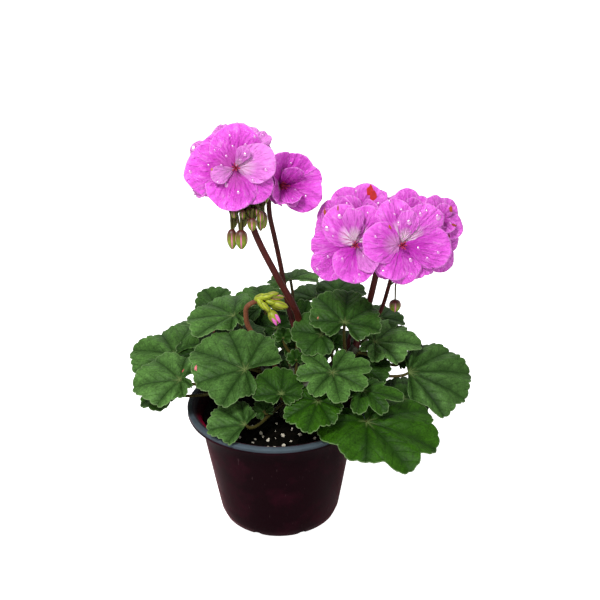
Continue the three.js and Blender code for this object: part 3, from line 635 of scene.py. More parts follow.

# %% [markdown]
# ## Leaves
#
# A zonal geranium's leaf is a round pleated blade with five to seven shallow lobes. One vein
# runs to the middle of each lobe, side veins leave it in pairs, and the margin is scalloped.
# Its stalk meets the blade at the bottom of the gap between the first and the last lobe.
#
# Each row below says where a leaf's stalk ends, to which azimuth its upper side leans and
# how far from level, where its middle lobe points, the length of each lobe, and the shoot
# that it grows on, with the place along it. One number says how light its green is: partly
# the leaf's own tone, and mostly painted light and shade for how much light reaches it, so
# leaves deep in the plant are painted dark. warm is how much of a clear, yellower green shows
# through its grey hairs.
#
# Some leaves need more. spread is how far the fan reaches to either side of its middle lobe,
# in degrees, angles gives the directions of lobes that aren't evenly apart, notch is how
# deep the cuts between them are, and bow pushes the middle of the stalk aside. part_of names
# the CAD leaf in whose shadow a filler leaf stands: it belongs to that leaf's node. The filler
# leaves are painted dark, as painted shade deep in the plant.

# %% Table of leaves
LEAVES = [
    dict(name="front_left", at=(-19, -20, 114), face=(-90, 25), tip=151,
         lobes=(24, 31, 34, 37.5, 32, 29, 18), stalk=("left", 0.2), shade=0.6, warm=0.1),
    dict(name="upper_left", at=(-27, 23, 129.7), face=(-140, 8), tip=175,
         lobes=(18, 30, 29.5, 31, 31, 14, 10), stalk=("left", 0.95), shade=0.8, warm=0.15),
    dict(name="upper_left_back", at=(-41, 58, 122), face=(-110, 25), tip=118,
         lobes=(11, 15, 17, 14.5, 9.5), stalk=("left", 0.75), bow=(6, 2, -6), shade=0.5, warm=0.1),
    dict(name="left", at=(-65, 16, 106), face=(-120, 20), tip=159,
         lobes=(18, 29, 28, 32, 29, 22, 14), stalk=("left", 0.5), shade=0.85, warm=0.25),
    dict(name="left_low", at=(-59, -18, 106.5), face=(-110, 25), tip=-179,
         lobes=(13, 20, 28, 31, 23, 12, 9), stalk=("left", 0.3), spread=170, notch=0.02,
         shade=0.9, warm=0.1),
    dict(name="left_droop", at=(-71, -1, 88.5), face=(-150, 20), tip=200,
         lobes=(9, 14, 18, 17, 10), stalk=("trunk", 0.8), shade=0.3, warm=0.5),
    dict(name="front_left_low", at=(-19, -43, 89), face=(-100, 28), tip=138,
         lobes=(11, 18, 23, 24, 16.5), stalk=("trunk", 0.72), spread=105, shade=0.75, warm=0.05),
    dict(name="front_middle_low", at=(3, -35, 105), face=(-95, 28), tip=85,
         lobes=(9.5, 12.5, 16, 20, 21, 18, 8), stalk=("trunk", 0.92), spread=165,
         shade=0.3, warm=0.6),
    dict(name="front_middle", at=(34, -25, 114), face=(-90, 20), tip=-81,
         lobes=(24, 22, 21, 24.5, 23, 25, 22), stalk=("right", 0.3), spread=168, notch=0.2,
         shade=0.95, warm=0.3),
    dict(name="upper_middle", at=(42, -5, 137.5), face=(-80, 25), tip=86,
         lobes=(16, 23, 25, 27, 27, 22, 14), stalk=("right", 0.85), spread=160,
         shade=0.4, warm=0.3),
    dict(name="middle", at=(28, -2, 128.3), face=(-100, 35), tip=165,
         lobes=(14, 20, 20, 17, 14), stalk=("middle", 0.6), shade=0.4, warm=0.35),
    dict(name="right", at=(62, 18, 112), face=(-70, 15), tip=2,
         lobes=(13, 17, 22, 31, 27, 24, 19), stalk=("right", 0.66), spread=165, notch=0.15,
         shade=1.1, warm=0.1),
    dict(name="far_right", at=(83, 5, 97), face=(-70, 25), tip=6,
         lobes=(22, 37.5, 40, 41, 36, 28, 17), stalk=("right", 0.5), spread=105,
         shade=0.55, warm=0.05, notch=0.02),
    dict(name="right_low", at=(54, -38, 87), face=(-70, 18), tip=-55,
         lobes=(20, 32, 30.5, 44.5, 46, 43, 28), stalk=("trunk", 0.83),
         angles=(-142, -115, -38, -1, 31, 75, 112), spread=160, notch=0.09,
         shade=0.05, warm=0.85),
    dict(name="right_under", at=(79, -2, 81.5), face=(-80, 8), tip=60,
         lobes=(18, 22, 24, 22, 18), stalk=("right", 0.2), shade=0.2, warm=0.1),
    dict(name="front_right_small", at=(52, -28, 103), face=(-75, 20), tip=-21,
         lobes=(12, 17.5, 21, 26, 15, 12), stalk=("right", 0.45),
         angles=(-140, -85, -25, 6, 60, 120), spread=155, notch=0.3, shade=0.5, warm=0.75),
    dict(name="front_low", at=(25, -38, 102), face=(-100, 28), tip=-109,
         lobes=(14, 16, 23.5, 23, 19, 16, 12), stalk=("trunk", 0.99), shade=0.0, warm=0.95),
    dict(name="top_right", at=(39, 42, 137), face=(-90, 5), tip=60,
         lobes=(14, 19, 20, 19, 14), stalk=("right", 0.23), shade=0.35, warm=0.05),
    dict(name="top_left", at=(9, 35, 149), face=(150, 9), tip=100,
         lobes=(19, 19, 17, 16, 14), stalk=("middle", 0.6), shade=0.95, warm=0.15),
    dict(name="upper_left_middle", at=(-9, 60, 119), face=(-105, 15), tip=103,
         lobes=(16, 21, 23, 24, 19), stalk=("trunk", 0.95), bow=(0, 0, -6), shade=0.6, warm=0.2),
    dict(name="young", at=(4, 8, 121), face=(-90, 40), tip=80,
         lobes=(5, 7, 8, 7, 5), stalk=("middle", 0.6), shade=0.4, warm=0.8),
    dict(name="inner", at=(5, 16, 111), face=(-80, 30), tip=60,
         lobes=(10, 13, 14, 13, 10), stalk=("middle", 0.4), shade=0.3, warm=0.6),
    dict(name="inner_small", at=(12, -1, 110), face=(-80, 40), tip=100,
         lobes=(5, 7, 8, 7, 5), stalk=("middle", 0.25), shade=0.3, warm=0.8),
    dict(name="young_curled", at=(35, 7, 117.5), face=(-60, 55), tip=80,
         lobes=(5, 8, 9, 8, 5), stalk=("right", 0.62), shade=0.6, warm=0.7),
    dict(name="young_low", at=(-8, -25, 87.5), face=(-95, 40), tip=110,
         lobes=(6, 8, 8.5, 8, 6), stalk=("left", 0.2), bow=(0, -6, 0),
         shade=0.5, warm=0.1),
    dict(name="back_right_upper", at=(67, 42, 117), face=(-30, 8), tip=60,
         lobes=(13, 17, 18, 17, 13), stalk=("right", 0.56), shade=0.45, warm=0.15),
    dict(name="back_left_upper", at=(-58, 60, 104), face=(150, 18), tip=150,
         lobes=(15, 21, 22, 20, 15), stalk=("left", 0.4), bow=(0, 0, -4), shade=0.45, warm=0.15),
    dict(name="back_middle_right", at=(25, 70, 118.5), face=(-95, 4), tip=80,
         lobes=(14, 20, 22, 20, 14), stalk=("middle", 0.45), shade=0.45, warm=0.15),
    dict(name="back_right", at=(66, 62, 100), face=(50, 25), tip=45,
         lobes=(17, 25, 27, 25, 17), stalk=("right", 0.4), shade=0.45, warm=0.15),
    dict(name="back_left_low", at=(-44, 58, 90), face=(125, 25), tip=125,
         lobes=(16, 23, 25, 23, 16), stalk=("trunk", 0.87), shade=0.45, warm=0.15),
    dict(name="back_low", at=(14, 74, 92), face=(90, 25), tip=90,
         lobes=(16, 23, 25, 23, 16), stalk=("trunk", 0.8), shade=0.45, warm=0.15),
    # The filler leaves below are painted dark: painted shade for the depth of the plant.
    dict(name="inner_left", part_of="inner", at=(-1, 46, 109), face=(-95, 14), tip=100,
         lobes=(15, 20, 22, 20, 15), stalk=("middle", 0.3), shade=0.1, warm=0.1),
    dict(name="inner_right", part_of="right_under", at=(55, 8, 99), face=(-80, 22), tip=20,
         lobes=(14, 17, 18, 15, 13), stalk=("right", 0.6), shade=0.15, warm=0.2),
    dict(name="inner_far_right", part_of="right_under", at=(78, 16, 98), face=(-80, 30), tip=60,
         lobes=(5, 7, 8, 7, 5), stalk=("right", 0.9), shade=0.1, warm=0.4),
    dict(name="inner_far_left", part_of="left", at=(-44, 14, 108), face=(-110, 12), tip=120,
         lobes=(17, 22, 24, 22, 18), stalk=("left", 0.6), shade=0.15, warm=0.1),
    dict(name="inner_centre", part_of="young_curled", at=(38, 20, 108), face=(-90, 14), tip=100,
         lobes=(14, 18, 19, 18, 14), stalk=("right", 0.7), shade=0.15, warm=0.2),
    dict(name="inner_upper", part_of="upper_middle", at=(17, 22, 128), face=(-90, 30), tip=80,
         lobes=(10, 13, 15, 13, 10), stalk=("middle", 0.95), shade=0.1, warm=0.3),
    dict(name="inner_upper_left", part_of="upper_left", at=(-24, 26, 112), face=(-105, 10), tip=110,
         lobes=(16, 20, 22, 20, 16), stalk=("left", 0.8), shade=0.1, warm=0.2),
    dict(name="inner_middle", part_of="inner_small", at=(16, 14, 100), face=(-90, 25), tip=90,
         lobes=(14, 18, 19, 18, 14), stalk=("middle", 0.1), shade=0.15, warm=0.2),
]
print(len(LEAVES), "leaves")

# %% [markdown]
# ## The shape of one blade
#
# leaf_place turns a direction into a lobe number: a whole number is the cut between two
# lobes and a half is a lobe's middle. From it follow the margin, the folds, which rise to the
# cuts and sink to the veins, and the distance to the nearest vein.

# %% Blade outline and relief
LEAF_NOTCH, LEAF_PLEAT, LEAF_DISH = 0.045, 0.045, 0.06  # as shares of the leaf's size
LEAF_SCALLOP = 1.3  # depth of the margin's scallops, in mm
LEAF_SPREAD = 152  # degrees to either side of the middle lobe
LARGE_LEAF, SMALL_LEAF = 22, 10  # longest lobe in mm, above which a leaf has more scallops


def lobe_angles(leaf):
    """The directions of a leaf's lobes and of the cuts between them, in degrees off its tip."""
    lobes, spread = leaf["lobes"], leaf.get("spread", LEAF_SPREAD)
    even = [(k + 0.5) * 2 * spread / len(lobes) - spread for k in range(len(lobes))]
    middles = list(leaf.get("angles", even))
    cuts = [-spread, *[(a + b) / 2 for a, b in zip(middles, middles[1:])], spread]
    return middles, cuts


def leaf_place(cuts, degrees):
    """The lobe number of a direction."""
    k = next((i for i in range(1, len(cuts)) if degrees <= cuts[i] + 1e-6), len(cuts) - 1) - 1
    return k + (degrees - cuts[k]) / (cuts[k + 1] - cuts[k])


def leaf_reach(leaf, place, seed):
    """The margin's distance from the stalk's end, in mm."""
    lobes, count = leaf["lobes"], len(leaf["lobes"])
    start = int(clamp(math.floor(place - 0.5), 0, count - 1))
    end = min(start + 1, count - 1)
    length = lobes[start] + (lobes[end] - lobes[start]) * smooth(place - 0.5 - start)
    cut = leaf.get("notch", LEAF_NOTCH) * abs(math.cos(math.pi * place)) ** 7
    scallops = 4 if max(lobes) > LARGE_LEAF else 3 if max(lobes) > SMALL_LEAF else 2
    where = place * scallops + 0.3 * noise.noise(Vector((place * 2, seed, 9)))
    gap = (1 - abs(math.sin(math.pi * where))) ** 1.5
    tooth = LEAF_SCALLOP / length * gap * (1 + 0.6 * noise.noise(Vector((place * 3, seed, 0))))
    drift = 0.03 * noise.noise(Vector((place * 1.6, seed, 5)))
    fade = max(0, 0.5 - place, place - count + 0.5)
    return length * (1 - cut - tooth + drift) * (1 - 1.4 * fade**2)


def leaf_frame(leaf):
    """Directions along the blade's middle, across it and up from it."""
    azimuth, tilt = leaf["face"]
    up = heading(azimuth, 90 - tilt)
    tip = heading(leaf["tip"], 0)
    along = (tip - up * tip.dot(up)).normalized()
    return along, up.cross(along), up


def blade_maker(leaf, seed):
    """The function that carries a grid's points to one leaf's blade."""
    middles, cuts = lobe_angles(leaf)
    spread, size = leaf.get("spread", LEAF_SPREAD), max(leaf["lobes"])
    along, across, up = leaf_frame(leaf)
    root = Vector(leaf["at"])

    def place(u, v):
        degrees = u * spread
        lobe = leaf_place(cuts, degrees)
        reach = leaf_reach(leaf, lobe, seed)
        away, angle = reach * v, math.radians(degrees)
        vein = math.radians(degrees - middles[min(int(lobe), len(middles) - 1)])
        off, run = abs(away * math.sin(vein)), away * math.cos(vein)
        phase = (run - 1.1 * off) / (size * 0.17)
        x, y = away * math.cos(angle), away * math.sin(angle)
        rise = size * (
            LEAF_DISH * math.sin(math.pi * v)
            + LEAF_PLEAT * v * math.cos(2 * math.pi * lobe) * 1.15
            + 0.03 * v**2 * math.sin(2 * angle + math.radians(40))
            + 0.016 * v**4 * math.sin(7 * angle + seed)
        )
        # Main veins lie in a furrow 0.5 mm deep, side veins in one of 0.3 mm.
        rise -= 0.5 * math.exp(-((off / 0.9) ** 2)) * smooth(v * 3) * (1 - 0.7 * v)
        rise -= 0.3 * (0.5 + 0.5 * math.cos(2 * math.pi * (phase - 0.5))) ** 3 * smooth(off / 2)
        rise += 0.5 * noise.noise(Vector((x / 7, y / 7, seed * 3.1))) * v
        spot = root + along * x + across * y + up * rise
        notes = {"off": off, "phase": phase, "share": v, "margin": (1 - v) * reach}
        notes.update(shade=leaf.get("shade", 0.5), warm=leaf.get("warm", 0.2))
        return spot, notes

    return place


def leaf_stalk(leaf):
    """Points of the stalk's curve, from the shoot to the blade."""
    shoot, share = leaf["stalk"]
    start, end = bezier(SHOOTS[shoot][0], share), Vector(leaf["at"])
    along, _, up = leaf_frame(leaf)
    length, bow = (end - start).length, Vector(leaf.get("bow", (0, 0, 0)))
    out = Vector((end.x - start.x, end.y - start.y, 0)).normalized()
    first = start + out * length * 0.3 + bow + Vector((0, 0, length * 0.15))
    last = end - up * length * 0.22 - along * length * 0.14 + bow
    end = end - up * 0.2 + along * 0.6
    return [bezier((start, first, last, end), k / 9) for k in range(10)]


print("widest blade:", max(max(leaf["lobes"]) for leaf in LEAVES) * 2, "mm")

# %% [markdown]
# ## Leaf finish
#
# The upper side is mid green, matt and finely haired, with sunken veins that look darker, a
# pale spot where they meet, a faint darker ring half way out, and a margin of pale hairs.
# The lower side is paler and duller. The hairs are too fine to model, so they are a fine
# grain in the colour and a very weak sheen. Veins could be painted on, but drawn from each
# point's distance to its vein they follow every lobe.

# %% Leaf materials: haired leaf, upper and lower side, and its stalk
def leaf_skin(name, dark, light, clear, vein, rim, depth):
    """One side of a blade. dark and light are the ends of its green, clear is the green that
    warm mixes in, and depth is how far the veins sink in, or stand out if it is negative."""
    skin, tree, shader = new_material(
        name, 0.45, Specular_IOR_Level=0.08, Sheen_Weight=0.01, Sheen_Roughness=0.45
    )
    shader.inputs["Sheen Tint"].default_value = tone("cfe0c4")
    keys = ("off", "phase", "share", "margin", "shade", "warm")
    note = {key: node(tree, "Attribute", {"attribute_name": key}) for key in keys}
    where = node(tree, "TexCoord").node.outputs["Object"]
    # Main veins fade out 1 mm to either side at the stalk, and 0.35 mm at the margin.
    width = node(tree, "MapRange", {"To Min": 1.0, "To Max": 0.35}, {"Value": note["share"]})
    near = node(tree, "Math", {"operation": "DIVIDE", "use_clamp": True}, {0: note["off"], 1: width})
    main = node(tree, "Math", {"operation": "SUBTRACT", 0: 1.0, "use_clamp": True}, {1: near})
    # Side veins leave the main ones a sixth of the leaf's size apart.
    turn = node(tree, "Math", {"operation": "FRACT"}, {0: note["phase"]})
    half = node(tree, "Math", {"operation": "SUBTRACT", 1: 0.5}, {0: turn})
    line = node(tree, "Math", {"operation": "ABSOLUTE"}, {0: half})
    side = node(tree, "MapRange", {"From Max": 0.1, "To Min": 0.55, "To Max": 0.0}, {"Value": line})
    veins = node(tree, "Math", {"operation": "MAXIMUM"}, {0: main, 1: side})
    # The blade between the veins is mottled, a few mm across.
    mottle = node(tree, "TexNoise", {"Scale": 240, "Detail": 5, "Roughness": 0.65}, {"Vector": where})
    patch = node(tree, "TexNoise", {"Scale": 55, "Detail": 2}, {"Vector": where})
    # The leaf's lightness, painted light and shade for how much light reaches it, and broad patches set
    # how light the green is.
    tint = node(tree, "Math", {"operation": "MULTIPLY_ADD", 1: 1.1}, {0: patch, 2: note["shade"]})
    level = node(tree, "Math", {"operation": "SUBTRACT", 1: 0.55, "use_clamp": True}, {0: tint})
    green = node(tree, "MixRGB", {1: tone(dark), 2: tone(light)}, {0: level})
    green = node(tree, "MixRGB", {2: tone(clear)}, {0: note["warm"], 1: green})
    span = {"From Min": 0.3, "From Max": 0.7, "To Min": 0.62, "To Max": 1.25}
    fine = node(tree, "MapRange", span, {"Value": mottle})
    green = node(tree, "VectorMath", {"operation": "SCALE"}, {0: green, "Scale": fine})
    # Hairs catch the light in grains about 1 mm apart.
    grain = node(tree, "TexNoise", {"Scale": 1000, "Detail": 3, "Roughness": 0.7}, {"Vector": where})
    span = {"From Min": 0.3, "From Max": 0.7, "To Min": 0.62, "To Max": 1.45}
    grain = node(tree, "MapRange", span, {"Value": grain})
    green = node(tree, "VectorMath", {"operation": "SCALE"}, {0: green, "Scale": grain})
    # Painted shade: the hollows along the veins are painted darker and greener, in patches.
    span = {"From Max": 4.5, "To Min": 1.3, "To Max": 0.0}
    painted_hollow_shade = node(tree, "MapRange", span, {"Value": note["off"]})
    painted_hollow_shade = node(tree, "Math", {"operation": "MULTIPLY"}, {0: painted_hollow_shade, 1: patch})
    green = node(tree, "MixRGB", {2: tone(vein)}, {0: painted_hollow_shade, 1: green})
    # The zone that gives the plant its name: a faint dark ring, then the veins, then the pale
    # spot over the stalk's end.
    share = {"Value": note["share"]}
    ring_in = node(tree, "MapRange", {"From Min": 0.36, "From Max": 0.52}, share)
    span = {"From Min": 0.62, "From Max": 0.8, "To Min": 1.0, "To Max": 0.0}
    ring_out = node(tree, "MapRange", span, share)
    ring = node(tree, "Math", {"operation": "MULTIPLY"}, {0: ring_in, 1: ring_out})
    ring = node(tree, "Math", {"operation": "MULTIPLY", 1: 0.22}, {0: ring})
    green = node(tree, "MixRGB", {2: tone(dark)}, {0: ring, 1: green})
    weight = node(tree, "Math", {"operation": "MULTIPLY", 1: 0.5}, {0: veins})
    green = node(tree, "MixRGB", {2: tone(vein)}, {0: weight, 1: green})
    span = {"From Min": 0.02, "From Max": 0.2, "To Min": 0.4, "To Max": 0.0}
    heart = node(tree, "MapRange", span, share)
    heart = node(tree, "Math", {"operation": "MULTIPLY"}, {0: heart, 1: main})
    green = node(tree, "MixRGB", {2: tone("9aae68")}, {0: heart, 1: green})
    # Pale hairs fringe the outer 0.75 mm.
    span = {"From Min": 0.15, "From Max": 0.75, "To Min": 0.5, "To Max": 0.0}
    hairs = node(tree, "MapRange", span, {"Value": note["margin"]})
    green = node(tree, "MixRGB", {2: tone(rim)}, {0: hairs, 1: green})
    tree.links.new(green, shader.inputs["Base Color"])
    # Veins sink in or stand out, and the skin between them is pebbled, 1 mm and finer.
    pebble = node(tree, "TexNoise", {"Scale": 900, "Detail": 3}, {"Vector": where})
    relief = node(tree, "Math", {"operation": "MULTIPLY_ADD", 1: -depth}, {0: veins, 2: pebble})
    bump = node(tree, "Bump", {"Strength": 0.45, "Distance": 0.0005}, {"Height": relief})
    tree.links.new(bump, shader.inputs["Normal"])
    return skin


leaf_upper = leaf_skin(
    "haired leaf, upper side", "17300a", "547b3b", "2a5205", "132c08", "86a06c", 1.6
)
leaf_lower = leaf_skin(
    "haired leaf, lower side", "33481f", "5a6e38", "6a7434", "66753f", "7d8c5c", -1.2
)

petiole, tree, shader = new_material("leaf stalk skin", 0.5, Specular_IOR_Level=0.2, Sheen_Weight=0.03)
where = node(tree, "TexCoord").node.outputs["Object"]
flush = node(tree, "TexNoise", {"Scale": 60, "Detail": 2}, {"Vector": where})
green = node(tree, "MixRGB", {1: tone("3e4c10"), 2: tone("442410")}, {0: flush})
tree.links.new(green, shader.inputs["Base Color"])
print("leaf finishes:", leaf_upper.name, "|", leaf_lower.name, "|", petiole.name)

# %% Make the leaves
BLADE_THICK, PETIOLE_RADII = 0.5, (1.4, 1.05, 0.95)  # in mm

for seed, leaf in enumerate(LEAVES):
    size = max(leaf["lobes"])
    per_lobe, rows = (24, 34) if size > LARGE_LEAF else (16, 20)
    blade = sheet("blade", len(leaf["lobes"]) * per_lobe, rows, blade_maker(leaf, seed))
    thicken(blade, BLADE_THICK, leaf_upper, leaf_lower)
    stalk = tube("stalk", leaf_stalk(leaf), PETIOLE_RADII, petiole)
    blade = join("blade_" + leaf["name"], [blade, stalk])
    settle(blade, "leaf", "leaf_" + leaf.get("part_of", leaf["name"]))
    print(blade.name, len(blade.data.polygons), "faces")

# %% [markdown]
# ## Flower heads
#
# Each head is an umbel: a knob at the stalk's top from which short rays carry one bloom each.
# The blooms are semi-double, with five broad petals and a few smaller ones inside. A petal
# is narrow at its claw and round at its end, silky, with veins that fan out, and its margin
# waves.
#
# Each bloom has its throat, the azimuth and elevation that it looks to, and a row for each
# petal: its direction seen from the front, anticlockwise from the right, its length and
# width, how far it leans forward in degrees, and how far its layer lies forward in mm. looks
# gives how pale the bloom's petals are, how white round its throat, and how much painted
# shade darkens them deep inside the bloom. A petal whose row has three more values takes
# those instead. Blooms with open=False are the half-open ones on top and at the side of the
# right head, whose stamens are still hidden.

# %% Table of blooms
def whorl(turn, length, width, lean):
    """Five broad petals in a whorl, and three small ones inside it."""
    broad = [(turn + 72 * k, length, width, lean, (0, 1, 0, 1, 2)[k]) for k in range(5)]
    small = [
        (turn + 30 + 115 * k, length * 0.66, width * 0.62, 24 + 8 * k, 1.6) for k in range(3)
    ]
    return broad + small


HEADS = {
    "left": [
        dict(at=(-21, -8, 239.5), face=(-88, 22), looks=(0.0, 0.1, 0.4), petals=[
            (183, 30, 31, 0, 0), (141, 24.5, 31, -2, -0.6), (88, 26, 31, 3, 0),
            (316, 25.5, 23, -2, -0.6), (254, 25, 30, 4, 0), (10, 24, 23, 14, 0.5, 0.6, 0.5, 0),
            (203, 16, 11, 22, 0.5, 0.7, 0.15, 0), (60, 15, 9, 34, 0.9, 0.5, 0.6, 0),
            (46, 27.5, 12, -2, -1.2, 0.8, 0, 0), (108, 26.5, 16, -3, -1.2, 0.7, 0, 0),
            (153, 29, 12, -3, -1.2, 0.7, 0, 0), (211, 28.5, 8, -3, -1.2, 0.6, 0, 0)]),
        dict(at=(-17, 6, 243), face=(-85, 35), looks=(0.8, 0.2, 0.0), petals=[
            (128, 20, 16, 4, 0), (98, 19, 16, 6, 1), (38, 17, 15, 4, 0), (65, 17, 15, 8, 1),
            (200, 16, 14, 3, 0)]),
        dict(at=(-31, 8, 235), face=(140, 15), looks=(0.2, 0.3, 0.0), petals=whorl(20, 19, 18, 3)),
        dict(at=(-12, 15, 236), face=(65, 20), looks=(0.2, 0.3, 0.0), petals=whorl(50, 19, 18, 3)),
    ],
    "side": [
        dict(at=(3.5, 13, 220.5), face=(-58, 17), looks=(0.0, 0.0, 0.5), petals=[
            (122, 27.5, 28, 42, 0), (50, 25.5, 25, 44, 0), (6, 26, 23, 44, 0.3), (332, 27, 25, 42, 0),
            (258, 17, 21, 50, 0, 0.3, 0.2, 0.1), (184, 20, 22, 54, 0, 0.1, 0.5, 0.1),
            (60, 20, 14, 62, 1), (280, 18, 14, 62, 1)]),
    ],
    "right": [
        dict(at=(48, -14, 193), face=(-95, 20), looks=(0.03, 0.0, 0.0), petals=[
            (125, 26, 25, 5, 0, 0.1, 0.8, 0), (181, 27, 17, -3, -0.6), (215, 29.5, 22, -5, -1.2),
            (266, 23, 26, 3, 0), (309, 19, 14, 12, 0, 0.5, 0.1, 0), (66, 24, 22, -2, -0.6, 0.1, 0.9, 0),
            (10, 17, 16, -4, -0.6), (96, 22, 13, 12, 0.8, 0.2, 1.0, 0)]),
        dict(at=(75, -13, 192), face=(-85, 20), looks=(0.03, 0.0, 0.0), petals=[
            (170, 24, 25, 13, 1, 0.05, 0.3, 0), (238, 22, 25, 8, 0), (103, 28, 24, 2, 0, 0.1, 0.8, 0),
            (42, 30, 23, 6, 0, 0.15, 0.9, 0), (352, 30, 25, 4, 1), (330, 27, 20, -4, -1),
            (272, 23, 22, 2, 0), (299, 23, 18, -2, -1), (74, 21, 13, 12, 0.9, 0.2, 1.0, 0)]),
        dict(at=(38.5, 2, 200), face=(-135, 25), open=False, looks=(0.1, 0.0, 0.3),
             petals=whorl(10, 17, 19, 12)),
        dict(at=(50.5, 8, 202), face=(-105, 40), open=False, looks=(0.15, 0.0, 0.3),
             petals=whorl(-5, 21, 24, 16) + [(42, 22, 16, 14, 0.5)]),
        dict(at=(67, 10, 198), face=(-90, 40), open=False, looks=(0.1, 0.0, 0.3),
             petals=whorl(0, 15, 18, 14)),
        dict(at=(80.5, 12, 201.5), face=(-85, 48), open=False, looks=(0.1, 0.0, 0.3),
             petals=whorl(18, 16, 19, 14)),
        dict(at=(98.5, 5, 200), face=(-60, 25), open=False, looks=(0.15, 0.0, 0.4),
             petals=whorl(35, 16, 17.5, 10)),
        dict(at=(96, 0, 183.5), face=(-60, -2), open=False, looks=(0.05, 0.0, 0.4),
             petals=whorl(14, 16.5, 17, 8)),
        dict(at=(74, -4, 177), face=(-90, -25), looks=(0.0, 0.2, 0.2),
             petals=whorl(18, 17, 16, 2)[:5]),
        dict(at=(50, 30, 195), face=(130, 18), looks=(0.2, 0.4, 0.0), petals=whorl(0, 19, 18, 3)),
        dict(at=(71, 33, 190), face=(90, 20), looks=(0.2, 0.4, 0.0), petals=whorl(36, 19, 18, 3)),
        dict(at=(94, 26, 189), face=(40, 10), looks=(0.2, 0.4, 0.0), petals=whorl(10, 19, 18, 3)),
    ],
}
print("blooms:", {name: len(flowers) for name, flowers in HEADS.items()})

# %% [markdown]
# ## Petal finish
#
# A petal's skin is a velvet of tiny cones, so it is satin, not glossy, and light passes
# through it a little. The colour is an orchid magenta, paler towards the margin and on the
# back. Veins a shade deeper fan out from the claw, the throat is crimson, and round it some
# petals are white between crimson lines.

